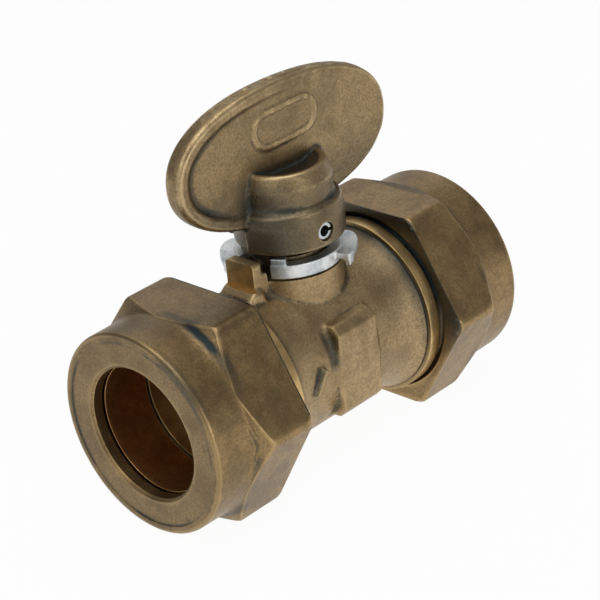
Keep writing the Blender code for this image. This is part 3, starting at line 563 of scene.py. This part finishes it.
# The shade masks paint shade, and some dark marks, into these skins.
forged_skin = brass("forged_skin", (0.54, 0.390, 0.205), (0.33, 0.235, 0.122), pitting=0.35,
                    machined=body_cuts, shade=body_shade_and_marks)
lever_skin = brass("lever_skin", (0.42, 0.300, 0.155), (0.24, 0.172, 0.088),
                   worn=(0.66, 0.50, 0.27), roughness=0.42, wear=0.6, pitting=0.25,
                   shade=painted_hub_shade)
nut_skin = brass("nut_skin", (0.40, 0.270, 0.124), (0.225, 0.153, 0.072),
                 worn=(0.52, 0.36, 0.165), roughness=0.42, grain_depth=0.025, wear=0.5, dirt=0.6,
                 shade=nut_shade_and_marks)
print("brass skins:", forged_skin.name, lever_skin.name, nut_skin.name)

# %% [markdown]
# ## The forged body
#
# The body is a hollow forging: a barrel that flares at both ends, a neck for the stem, a flat pad
# on each side for a spanner, a lug that keeps the stop ring from turning, with a rounded ledge at
# its foot, and one raised bar. These are drawn as rough blocks and fused. The shoulders, threads
# and bores are machined afterwards, so they stay crisp.

# %% Forging blank
SIDEWAYS = Matrix.Rotation(math.radians(90), 4, "X")
ACROSS_TUBE = Matrix.Rotation(math.radians(90), 4, "Z") @ SIDEWAYS
SPARE = 0.4  # metal left on for the machining
BARREL_RADIUS = 9.2
BELL_RISE = 1.2
BELL_END = 10.65
BELL_LENGTH = 4.75
COLLAR_RADIUS = 5.95
COLLAR_TOP = 10.7
PAD_REACH = 9.5
PAD_HALF_HEIGHT = 5.7
PAD_HALF_WIDTH = 3.25
PAD_CORNER = 1.0
LUG_FACE = 7.9
LUG_STEP = 6.45
LUG_BACK = 5.1
LUG_FOOT = 7.0
LUG_STEP_TOP = 11.9
LUG_TOP = 13.4
LUG_HALF_WIDTH = 2.1
LEDGE_PLACE = (-8.0, -0.2, 9.1)
LEDGE_RADIUS = 1.3
LEDGE_HALF_WIDTH = 2.6
BAR_HALF_WIDTH = 0.38
BAR_HALF_LENGTH = 1.6
BAR_FACE = 9.75


def barrel_section():
    """The barrel widens in a smooth curve towards each end, where it has metal to spare."""
    wide = BARREL_RADIUS + BELL_RISE
    outline = [(0, -BELL_END - SPARE), (wide, -BELL_END - SPARE)]
    count = 12
    for i in range(-count, count + 1):
        along = abs(i) / count
        radius = BARREL_RADIUS + BELL_RISE * along ** 2
        position = math.copysign(BELL_END - BELL_LENGTH * (1 - along), i)
        outline.append((radius, position))
    return outline + [(wide, BELL_END + SPARE), (0, BELL_END + SPARE)]


def box_outline(x0, x1, y0, y1):
    """A rectangle between two x and two y values."""
    return [(x0, y0), (x1, y0), (x1, y1), (x0, y1)]


def chamfered_outline(x, y, cut):
    """A rectangle with its corners cut off, twice x by twice y in size."""
    return [(-x, cut - y), (cut - x, -y), (x - cut, -y), (x, cut - y),
            (x, y - cut), (x - cut, y), (cut - x, y), (-x, y - cut)]


barrel = lathe(barrel_section(), 96, TOWARDS_FAR)
collar = pipe(0, COLLAR_RADIUS, 4, COLLAR_TOP + 0.6)
pads = slab(chamfered_outline(PAD_REACH, PAD_HALF_HEIGHT, PAD_CORNER),
            -PAD_HALF_WIDTH, PAD_HALF_WIDTH, ACROSS_TUBE)
lug = slab([(-LUG_FACE - SPARE, LUG_FOOT), (-LUG_BACK, LUG_FOOT), (-LUG_BACK, LUG_STEP_TOP),
            (-LUG_STEP, LUG_STEP_TOP), (-LUG_STEP, LUG_TOP), (-LUG_FACE - SPARE, LUG_TOP)],
           -LUG_HALF_WIDTH, LUG_HALF_WIDTH, SIDEWAYS)
ledge = lathe([(0, -LEDGE_HALF_WIDTH), (LEDGE_RADIUS - 0.3, -LEDGE_HALF_WIDTH),
               (LEDGE_RADIUS, 0.4 - LEDGE_HALF_WIDTH), (LEDGE_RADIUS, LEDGE_HALF_WIDTH - 0.4),
               (LEDGE_RADIUS - 0.3, LEDGE_HALF_WIDTH), (0, LEDGE_HALF_WIDTH)],
              48, Matrix.Translation(LEDGE_PLACE) @ SIDEWAYS)
bar_move = Matrix.Translation((BAR_PLACE[0], 0, BAR_PLACE[1]))
bar = slab(box_outline(-BAR_HALF_WIDTH, BAR_HALF_WIDTH, -BAR_HALF_LENGTH, BAR_HALF_LENGTH),
           8.0, BAR_FACE, bar_move @ Matrix.Rotation(BAR_LEAN, 4, "Y") @ SIDEWAYS)
body = forge([barrel, collar, pads, lug, ledge, bar], grain=0.24, passes=5)
print("forging blank:", len(body.faces), "faces")

# %% [markdown]
# The thread is a helix. At each angle the section of the spigot is the same saw of crests and
# roots, moved along by a share of the pitch, so it can go through the same lathe as everything
# else. The nut's thread is the same formula with some room, and the two stay in mesh as the nut
# is undone.

# %% Threaded ends
THREAD_PITCH = 1.814
THREAD_DEPTH = 0.65
THREAD_RUNOUT = 0.8
SPIGOT_FOOT = 9.8
FOOT_RADIUS = 9.7
SHOULDER_RADIUS = 10.8
SPIGOT_RADIUS = 10.3
SPIGOT_END = 19.3


def thread_radius(angle, position, crest, start, end):
    """Radius of the thread at an angle and a distance along it. It fades out at both ends."""
    turn_share = (position / THREAD_PITCH - angle / (2 * math.pi)) % 1.0
    tooth = min(max(1.5 - abs(4 * turn_share - 2), 0.0), 1.0)
    to_end = min(position - start, end - position) / THREAD_RUNOUT
    return crest - THREAD_DEPTH * tooth * min(1.0, max(0.0, to_end))


def spigot_section(angle):
    """A foot inside the barrel, the shoulder, and the thread."""
    outline = soften([
        (0, SPIGOT_FOOT, 0), (FOOT_RADIUS, SPIGOT_FOOT, 0), (FOOT_RADIUS, SHOULDER_START, 0),
        (SHOULDER_RADIUS, SHOULDER_START, 0.06), (SHOULDER_RADIUS, SHOULDER_END, 0.12),
        (SPIGOT_RADIUS - 0.5, SHOULDER_END + 0.05, 0.05)], closed=False)
    first, last = SHOULDER_END + 0.3, SPIGOT_END - 0.5
    count = 30
    for i in range(count + 1):
        position = first + (last - first) * i / count
        radius = thread_radius(angle, position, SPIGOT_RADIUS, first - 0.7, last + 0.8)
        outline.append((radius, position))
    outline += [(SPIGOT_RADIUS - 0.6, SPIGOT_END), (0, SPIGOT_END)]
    return outline


spigots = [lathe(spigot_section, 144, turn) for turn in SIDES.values()]
body = carve(body, spigots, "UNION")

# %% Machining the body
WATERWAY_RADIUS = 5.0
SOCKET_RADIUS = 7.6
TUBE_STOP = 10.0
SEAT_SHOULDER = 7.5
OLIVE_CONE_MOUTH = 9.78
OLIVE_CONE_END = 16.6
STEM_BORE = 3.3
FLANGE_BORE = 4.2
FLANGE_TOP = 9.5
NECK_RADIUS = 4.4
NECK_TOP = 12.9
ABOVE_BODY = 16


def bore_section():
    """The seats' space, the waterway, and at each end the tube socket with its cone."""
    beyond = SPIGOT_END + 1
    mouth = [(0, beyond, 0), (OLIVE_CONE_MOUTH, beyond, 0), (8.0, OLIVE_CONE_END, 0.05),
             (SOCKET_RADIUS, OLIVE_CONE_END, 0.05)]
    inside = [(SOCKET_RADIUS, TUBE_STOP, 0.1), (WATERWAY_RADIUS, TUBE_STOP, 0.1),
              (WATERWAY_RADIUS, SEAT_SHOULDER, 0.1), (SOCKET_RADIUS, SEAT_SHOULDER, 0.1)]
    near_side = [(radius, -position, size) for radius, position, size in reversed(mouth)]
    return soften(mouth + inside + near_side)


bores = lathe(bore_section(), 144, TOWARDS_FAR)
gland_bore = lathe([(0, ABOVE_BODY), (STEM_BORE, ABOVE_BODY), (STEM_BORE, FLANGE_TOP),
                    (FLANGE_BORE, FLANGE_TOP), (FLANGE_BORE, 3), (0, 3)])
lug_mill = slab(box_outline(-LUG_FACE - 4, -LUG_FACE, 10.35, ABOVE_BODY), -6, 6, SIDEWAYS)
collar_mill = pipe(4.5, 6.22, COLLAR_TOP, ABOVE_BODY)
body = carve(body, [bores, gland_bore, lug_mill, collar_mill])
neck = lathe(soften([(STEM_BORE, 9.6, 0), (NECK_RADIUS, 9.6, 0), (NECK_RADIUS, NECK_TOP, 0.15),
                     (STEM_BORE, NECK_TOP, 0.1)]))
body = carve(body, [neck], "UNION")
hand_over("forged_body", body, "valve_body", "valve_frame", forged_skin)

# %% [markdown]
# ## Compression nuts
#
# A nut is a hexagon 24 mm across its flats with a round boss. The cone between them is turned, so
# it scallops each flat with a curve, and it runs out on to the boss in a hollow one. The radius of
# the hexagon is known at every angle, so the lathe section finds where the cone and the flat meet,
# and puts an edge exactly there.

# %% Nut shape
HALF_FLATS = 12.0
HEX_CORNER = HALF_FLATS / math.cos(math.radians(30))
NUT_BACK = 12.53
NUT_FACE = 25.03
BOSS_RADIUS = 11.85
RIDGE = 18.43
CONE_SLOPE = 1.5
CONE_HOLLOW = 0.6
CONE_END = 21.4
CORNER_ROUND = 0.9
BACK_BORE = 11.1
NUT_THREAD = 10.58
NUT_THREAD_START = 13.1
NUT_THREAD_END = 20.8
THREAD_RELIEF = 21.35
OLIVE_STOP = 23.45
MOUTH_RADIUS = 7.72
LIP_RADIUS = 10.93
LIP_DEPTH = 0.09


def hexagon_radius(angle):
    """Distance from the axis to the side of a hexagon with rounded corners."""
    from_flat = abs((angle + math.pi / 6) % (math.pi / 3) - math.pi / 6)
    centre = (HALF_FLATS - CORNER_ROUND) / math.cos(math.pi / 6)
    if HALF_FLATS * math.tan(from_flat) <= (HALF_FLATS - CORNER_ROUND) * math.tan(math.pi / 6):
        return HALF_FLATS / math.cos(from_flat)
    aside = math.pi / 6 - from_flat
    return centre * math.cos(aside) + math.sqrt(CORNER_ROUND ** 2 - (centre * math.sin(aside)) ** 2)


def cone_radius(position):
    """The turned cone, which runs out on to the boss in a hollow curve."""
    fall = HEX_CORNER - BOSS_RADIUS - CONE_SLOPE * (position - RIDGE)
    return BOSS_RADIUS + (fall + math.sqrt(fall ** 2 + CONE_HOLLOW ** 2)) / 2


def nut_section(angle):
    """Up the outside of the nut, over its face and into its mouth, then back down the thread."""
    edge = hexagon_radius(angle)
    back = min(HEX_CORNER - 0.45, edge)
    rise = edge - BOSS_RADIUS
    scallop = RIDGE + (HEX_CORNER - edge + CONE_HOLLOW ** 2 / (4 * rise)) / CONE_SLOPE
    shares = (0.12, 0.25, 0.4, 0.55, 0.75, 1.0)
    cone = [scallop + (CONE_END - scallop) * share for share in shares]
    inner_face = NUT_FACE - LIP_DEPTH
    outline = soften([
        (BACK_BORE, NUT_BACK, 0.08), (back, NUT_BACK, 0.15), (edge, NUT_BACK + edge - back, 0.2),
        (edge, scallop, 0.9), *((cone_radius(position), position, 0) for position in cone),
        (BOSS_RADIUS, NUT_FACE, 0.85), (LIP_RADIUS, NUT_FACE, 0.06),
        (LIP_RADIUS - 0.11, inner_face, 0.06), (MOUTH_RADIUS + 0.34, inner_face, 0.15),
        (MOUTH_RADIUS, NUT_FACE - 0.4, 0.1), (MOUTH_RADIUS, OLIVE_STOP, 0.1),
        (10.02, THREAD_RELIEF, 0.05), (10.6, THREAD_RELIEF, 0.05),
    ], closed=False)
    count = 32
    for i in range(count + 1):
        position = NUT_THREAD_END - (NUT_THREAD_END - NUT_THREAD_START) * i / count
        radius = thread_radius(angle, position, NUT_THREAD, NUT_THREAD_START, NUT_THREAD_END)
        outline.append((radius, position))
    return outline


for side, turn in SIDES.items():
    nut = lathe(nut_section, 192, turn)
    hand_over(f"{side}_compression_nut", nut, f"{side}_nut", f"{side}_nut_body",
              nut_skin)

# %% [markdown]
# ## Olives
#
# The olive is the soft ring that the nut squeezes on to the tube. Deep in the socket it only gets
# light that has already bounced off brass, so it looks orange. It is turned, and left bare.

# %% Olives
OLIVE_RADIUS = 8.85
OLIVE_TIP = 7.8
OLIVE_BORE = 7.6
OLIVE_START = 17.0
OLIVE_END = 23.1
olive_skin = brass("olive_skin", (0.58, 0.300, 0.110), (0.38, 0.175, 0.055), roughness=0.36,
                   grain_depth=0.006, wear=0.2, dirt=0.2)
olive_section = soften([
    (OLIVE_TIP, OLIVE_END, 0.12), (OLIVE_RADIUS, 20.7, 0.4), (OLIVE_RADIUS, 19.4, 0.4),
    (OLIVE_TIP, OLIVE_START, 0.12), (OLIVE_BORE, OLIVE_START, 0.05),
    (OLIVE_BORE, OLIVE_END, 0.08)])
for side, turn in SIDES.items():
    hand_over(f"{side}_soft_olive", lathe(olive_section, 128, turn), f"{side}_olive",
              f"{side}_olive_body", olive_skin)

# %% [markdown]
# ## The lever
#
# The lever is one forging: a hub that grips the stem, and a fan blade with a raised rim. The
# blade's edge keeps a ragged line of flash where the two halves of the die met. On the blade is
# an empty raised frame. Hub, blade and frame are fused like the body, then the stem socket and
# the pin hole are drilled.

# %% Blade
LEVER_ANGLE = math.radians(-4)
BLADE_CENTRE = 24.25
BLADE_SHIFT = 0.2
BLADE_LENGTH = 15.5
BLADE_HEIGHT = 7.98
BLADE_EXPONENT = 2.25
RIM_HALF = 1.3
WEB_HALF = 0.8
FLASH_HALF = 0.2
lever_turn = Matrix.Rotation(LEVER_ANGLE, 4, "Z")
blade_turn = lever_turn @ Matrix.Translation((BLADE_SHIFT, 0, BLADE_CENTRE)) @ SIDEWAYS


def oval(angle, inset):
    """Distance from the blade's centre to its outline, moved inwards by inset."""
    cosine = abs(math.cos(angle)) / (BLADE_LENGTH - inset)
    sine = abs(math.sin(angle)) / (BLADE_HEIGHT - inset)
    return (cosine ** BLADE_EXPONENT + sine ** BLADE_EXPONENT) ** (-1 / BLADE_EXPONENT)


def flash(angle):
    """How far the ragged flash stands out, mostly along the top."""
    top = max(0.0, math.sin(angle)) ** 0.5
    ragged = noise.noise(Vector((8 * math.cos(angle), 8 * math.sin(angle), 0.3)))
    ragged += 0.6 * noise.noise(Vector((23 * math.cos(angle), 23 * math.sin(angle), 1.7)))
    return top * (0.06 + 0.24 * ragged)


# Each step of the rim: how far in from the outline, and what share of the rim's rise it has there.
RIM_STEPS = [(3.2, 0.0), (2.2, 0.02), (1.8, 0.2), (1.4, 0.8), (1.1, 1.0), (0.45, 1.0),
             (0.12, 0.3), (0.0, -0.6)]


def blade_section(angle):
    """The rim stands proud of the web, most at the left, and fades towards the right end."""
    low_side = math.sin(angle) <= -0.2
    middle, change = (0.55, 0.45) if low_side else (0.62, 0.38)
    fade = middle - change * math.cos(angle)
    front = [(0, WEB_HALF)]
    for inset, share in RIM_STEPS:
        rise = (RIM_HALF - WEB_HALF) * share * (fade if share > 0 else 1)
        front.append((oval(angle, inset), WEB_HALF + rise))
    front.append((oval(angle, 0) + flash(angle), FLASH_HALF))
    return front + [(radius, -thick) for radius, thick in reversed(front)]


def stadium(half_length, half_height):
    """The outline of a flat bar with round ends."""
    steps = 10
    straight = half_length - half_height
    outline = []
    for sign, start in ((1, -90), (-1, 90)):
        for i in range(steps + 1):
            x, y = polar(half_height, start + 180 * i / steps)
            outline.append((sign * straight + x, y))
    return outline


PANEL_PLACE = (0.4, 2.85, 0)
PANEL_TILT = math.radians(3)
PANEL_HALF_LENGTH = 4.75
PANEL_HALF_HEIGHT = 2.25
PANEL_BORDER = 0.55
PANEL_RISE = 0.14
blade = lathe(blade_section, 240, blade_turn)
panel_turn = blade_turn @ Matrix.Translation(PANEL_PLACE) @ Matrix.Rotation(PANEL_TILT, 4, "Z")
panel = slab(stadium(PANEL_HALF_LENGTH, PANEL_HALF_HEIGHT), 0.5, WEB_HALF + PANEL_RISE, panel_turn)
panel_middle = slab(stadium(PANEL_HALF_LENGTH - PANEL_BORDER, PANEL_HALF_HEIGHT - PANEL_BORDER),
                    0, 3, panel_turn)
panel = carve(panel, [panel_middle])

# %% Hub
HUB_BOTTOM = 13.95
HUB_SECTION = soften([
    (0, 21.75, 0), (2.6, 21.85, 0.8), (4.1, 22.45, 0.5), (4.6, 22.8, 0.3), (5.05, 22.65, 0.5),
    (5.7, 21.0, 1.0), (5.62, 18.85, 0.45), (6.4, 18.35, 0.35), (6.66, 17.0, 0.8),
    (6.6, HUB_BOTTOM, 0.35), (0, HUB_BOTTOM, 0)])
hub_notch = arc_slab(5.95, 8.0, 154.5, 26.5, 13, 16.6)
hub = carve(lathe(HUB_SECTION, 128), [hub_notch])
lever = forge([hub, blade, panel], grain=0.17, passes=3)
print("lever blank:", len(lever.faces), "faces")

# %% Drilling the lever
PIN_HEIGHT = 15.75
PIN_HOLE = 1.12
SOCKET_TOP = 20.5
pin_turn = lever_turn @ Matrix.Translation((0, 0, PIN_HEIGHT)) @ SIDEWAYS
drill = pipe(0, PIN_HOLE, 8, -8, 48, pin_turn)
socket = pipe(0, STEM_BORE, SOCKET_TOP, 11)
below_hub = pipe(0, 8, 10, HUB_BOTTOM)
lever = carve(lever, [below_hub])
boss = pipe(0, 4.3, 13.2, 14.5)
tang = arc_slab(4.8, 5.35, 167, 33, 12.85, 14.5)
lever = carve(lever, [boss, tang], "UNION")
lever = carve(lever, [drill, socket])
hand_over("fan_lever", lever, "lever", "lever_group", lever_skin)

# %% [markdown]
# ## Stop ring and roll pin
#
# The stop ring is zinc plated: pale, slightly blue and glossier than the brass. Its gap sits over
# the lug, its ears guard the hub, and the step by the lug is where the lever stops. The roll pin
# is a slit tube of spring steel that locks the lever to the stem.

# %% Stop ring
plating = Finish("zinc_plating", 0.9)
plating_clouds = plating.speckle(2.5, 4.0)
plating_grain = plating.speckle(0.3, 2.0)
plating_colour = plating.blend(plating_clouds.over(0.5, 0.5),
                               (0.66, 0.69, 0.69), (0.86, 0.87, 0.86))
plating_stains = plating.speckle(4.0, 5.0).over(0.56, 0.16) * 0.7
plating.connect("Base Color", plating.blend(plating_stains, plating_colour, (0.24, 0.29, 0.33)))
plating.connect("Roughness", plating_grain * 0.2 + 0.32)
plating.bump(plating_grain, 0.01)
RING_INNER = 4.7
RING_OUTER = 6.0
RING_BOTTOM = 10.95
RING_TOP = 12.55
EAR_INNER = 5.4
EAR_REACH = 2.35
EAR_HALF_ANGLE = 29
EAR_BOTTOM = 11.62
EAR_TOP = 12.38
LEG_INNER = 7.15
LEG_ANGLE = 24
STOP_TOP = 13.35


def ear_outline(middle, square_side):
    """A flat ear, square at the end with the leg and rounded at the other."""
    shares = [math.sin(math.pi / 2 * i / 20) for i in range(21)]
    turned = [EAR_HALF_ANGLE - 2 * EAR_HALF_ANGLE * share for share in shares]
    angles = [middle + square_side * angle for angle in turned]
    outer = [polar(EAR_INNER + EAR_REACH * math.sqrt(1 - share ** 8), angle)
             for share, angle in zip(shares, angles)]
    return outer + [polar(EAR_INNER, angle) for angle in reversed(angles[:-1])]


ring_blocks = [pipe(RING_INNER, RING_OUTER, RING_TOP, RING_BOTTOM, 128)]
for middle, square_side in ((131, 1), (-49, -1)):
    leg_middle = middle + LEG_ANGLE * square_side
    ring_blocks.append(slab(ear_outline(middle, square_side), EAR_BOTTOM, EAR_TOP))
    ring_blocks.append(arc_slab(LEG_INNER, LEG_INNER + 0.6, leg_middle, 4.2, RING_BOTTOM, 12.2))
for middle in (212.5, 31.5):
    ring_blocks.append(arc_slab(4.75, 5.95, middle, 8.5, 12.0, STOP_TOP))
stop_ring = forge(ring_blocks, grain=0.11, passes=2)
lug_gap = slab(box_outline(-9, 0, -2.4, 2.4), 9, 15)
stop_ring = carve(stop_ring, [lug_gap])
hand_over("plated_stop_ring", stop_ring, "stop_ring", "valve_frame",
          plating.material)


# %% Roll pin
def plain_finish(name, metallic, size, dark, light, roughness, spread, depth):
    """A finish that wanders softly between two colours and two roughnesses."""
    finish = Finish(name, metallic)
    clouds = finish.speckle(size, 3.0)
    finish.connect("Base Color", finish.blend(clouds, dark, light))
    finish.connect("Roughness", clouds * spread + roughness)
    finish.bump(clouds, depth)
    return finish.material


PIN_RADIUS = 1.05
PIN_BORE = 0.62
PIN_HALF_LENGTH = 6.3
SLIT_HALF = 0.2
spring_steel = plain_finish("spring_steel", 1.0, 0.4, (0.45, 0.48, 0.50), (0.66, 0.69, 0.70),
                            0.2, 0.2, 0.008)
pin_section = soften([
    (PIN_RADIUS, PIN_HALF_LENGTH, 0.12), (PIN_RADIUS, -PIN_HALF_LENGTH, 0.12),
    (PIN_BORE, -PIN_HALF_LENGTH, 0.05), (PIN_BORE, PIN_HALF_LENGTH, 0.05)])
slit = slab(box_outline(0, 3, -SLIT_HALF, SLIT_HALF), -8, 8, pin_turn)
pin = carve(lathe(pin_section, 48, pin_turn), [slit])
hand_over("slit_roll_pin", pin, "roll_pin", "lever_group", spring_steel)

# %% [markdown]
# ## Inside the body
#
# The ball, its seats and the stem show only down the sockets, or when the nuts are undone. They
# are turned parts, and each gets its own finish: chrome on the ball, white seats, black rings.

# %% Finishes inside
chrome = plain_finish("ball_chrome", 1.0, 3.0, (0.60, 0.61, 0.63), (0.78, 0.79, 0.80),
                      0.06, 0.1, 0.002)
seat_white = plain_finish("seat_white", 0.0, 1.5, (0.72, 0.72, 0.69), (0.86, 0.86, 0.83),
                          0.4, 0.2, 0.01)
nitrile = Finish("black_nitrile", 0.0)
dust = nitrile.speckle(0.6, 3.0)
rubber = nitrile.blend(dust.over(0.6, 0.3), (0.012, 0.012, 0.012), (0.05, 0.05, 0.05))
nitrile.connect("Base Color", rubber)
nitrile.connect("Roughness", dust * 0.3 + 0.4)
nitrile.bump(dust, 0.01)
stem_skin = brass("stem_skin", (0.60, 0.45, 0.21), (0.48, 0.34, 0.14), roughness=0.3,
                  grain_depth=0.004)
retainer_skin = brass("retainer_skin", (0.50, 0.33, 0.13), (0.36, 0.20, 0.07), roughness=0.34,
                      grain_depth=0.006)

for material, nodes in (
        (seat_white, ("near_seat", "far_seat", "thrust_washer")),
        (nitrile.material, ("near_seat_o_ring", "far_seat_o_ring", "lower_stem_o_ring",
                            "upper_stem_o_ring")),
        (chrome, ("ball",)), (stem_skin, ("stem",)), (retainer_skin, ("seat_retainer",))):
    for node in nodes:
        cad_mesh = frame["nodes"][node].data
        cad_mesh.materials.clear()
        cad_mesh.materials.append(material)

# %% [markdown]
# ## Floor, light and camera
#
# The object lies on white paper in soft light, most of it from above. The eye and the metal both
# see the paper as white, so the undersides are bright, and the paper still takes a soft shadow.

# %% Floor
floor_shape = bmesh.new()
bmesh.ops.create_grid(floor_shape, x_segments=2, y_segments=2, size=2.0)
floor = to_object("studio_floor", floor_shape)
paper = Finish("white_paper", 0.0)
fibres = paper.speckle(0.8, 3.0)
paper.connect("Base Color", paper.blend(fibres, (0.85, 0.85, 0.85), (0.88, 0.88, 0.88)))
paper.connect("Roughness", fibres * 0.1 + 0.85)
paper.show_white(0.96)
floor.data.materials.append(paper.material)

# %% World
studio = bpy.data.worlds.new("studio")
bpy.context.scene.world = studio
studio.use_nodes = True
background = studio.node_tree.nodes["Background"]
background.inputs["Color"].default_value = (1, 1, 1, 1)
background.inputs["Strength"].default_value = 0.28


# %% Lamps
def softbox(name, place, target, size, watts):
    lamp = bpy.data.lights.new(name, "AREA")
    lamp.shape = "SQUARE"
    lamp.size = size
    lamp.energy = watts
    holder = bpy.data.objects.new(name, lamp)
    holder.location = place
    aim = Vector(target) - Vector(place)
    holder.rotation_euler = aim.to_track_quat("-Z", "Y").to_euler()
    bpy.context.scene.collection.objects.link(holder)
    return holder


softbox("top", (-0.06, -0.06, 0.60), (0, 0, 0.015), 0.50, 1.5)
softbox("side", (-0.42, -0.12, 0.30), (0, 0, 0.015), 0.35, 0.5)
softbox("front", (-0.02, -0.55, 0.10), (0, 0, 0.015), 0.35, 0.6)
softbox("back", (0.30, 0.34, 0.34), (0, 0, 0.02), 0.45, 0.35)

# %% Camera
CAMERA_PLACE = Vector((-0.144936, -0.149116, 0.120946))
CAMERA_TARGET = Vector((0.0019126, 0.0010963, 0.0162559))
CAMERA_ROLL = math.radians(-6.1068)
FOCAL_LENGTH = 123.08
lens = bpy.data.cameras.new("photo_camera")
lens.lens = FOCAL_LENGTH
lens.sensor_width = 36.0
lens.clip_start = 0.01
lens.clip_end = 20.0
camera = bpy.data.objects.new("photo_camera", lens)
camera.rotation_mode = "QUATERNION"
level_turn = (CAMERA_TARGET - CAMERA_PLACE).to_track_quat("-Z", "Y")
camera.rotation_quaternion = level_turn @ Matrix.Rotation(CAMERA_ROLL, 3, "Z").to_quaternion()
camera.location = CAMERA_PLACE
bpy.context.scene.collection.objects.link(camera)
bpy.context.scene.camera = camera
bpy.context.scene.view_settings.view_transform = "Standard"
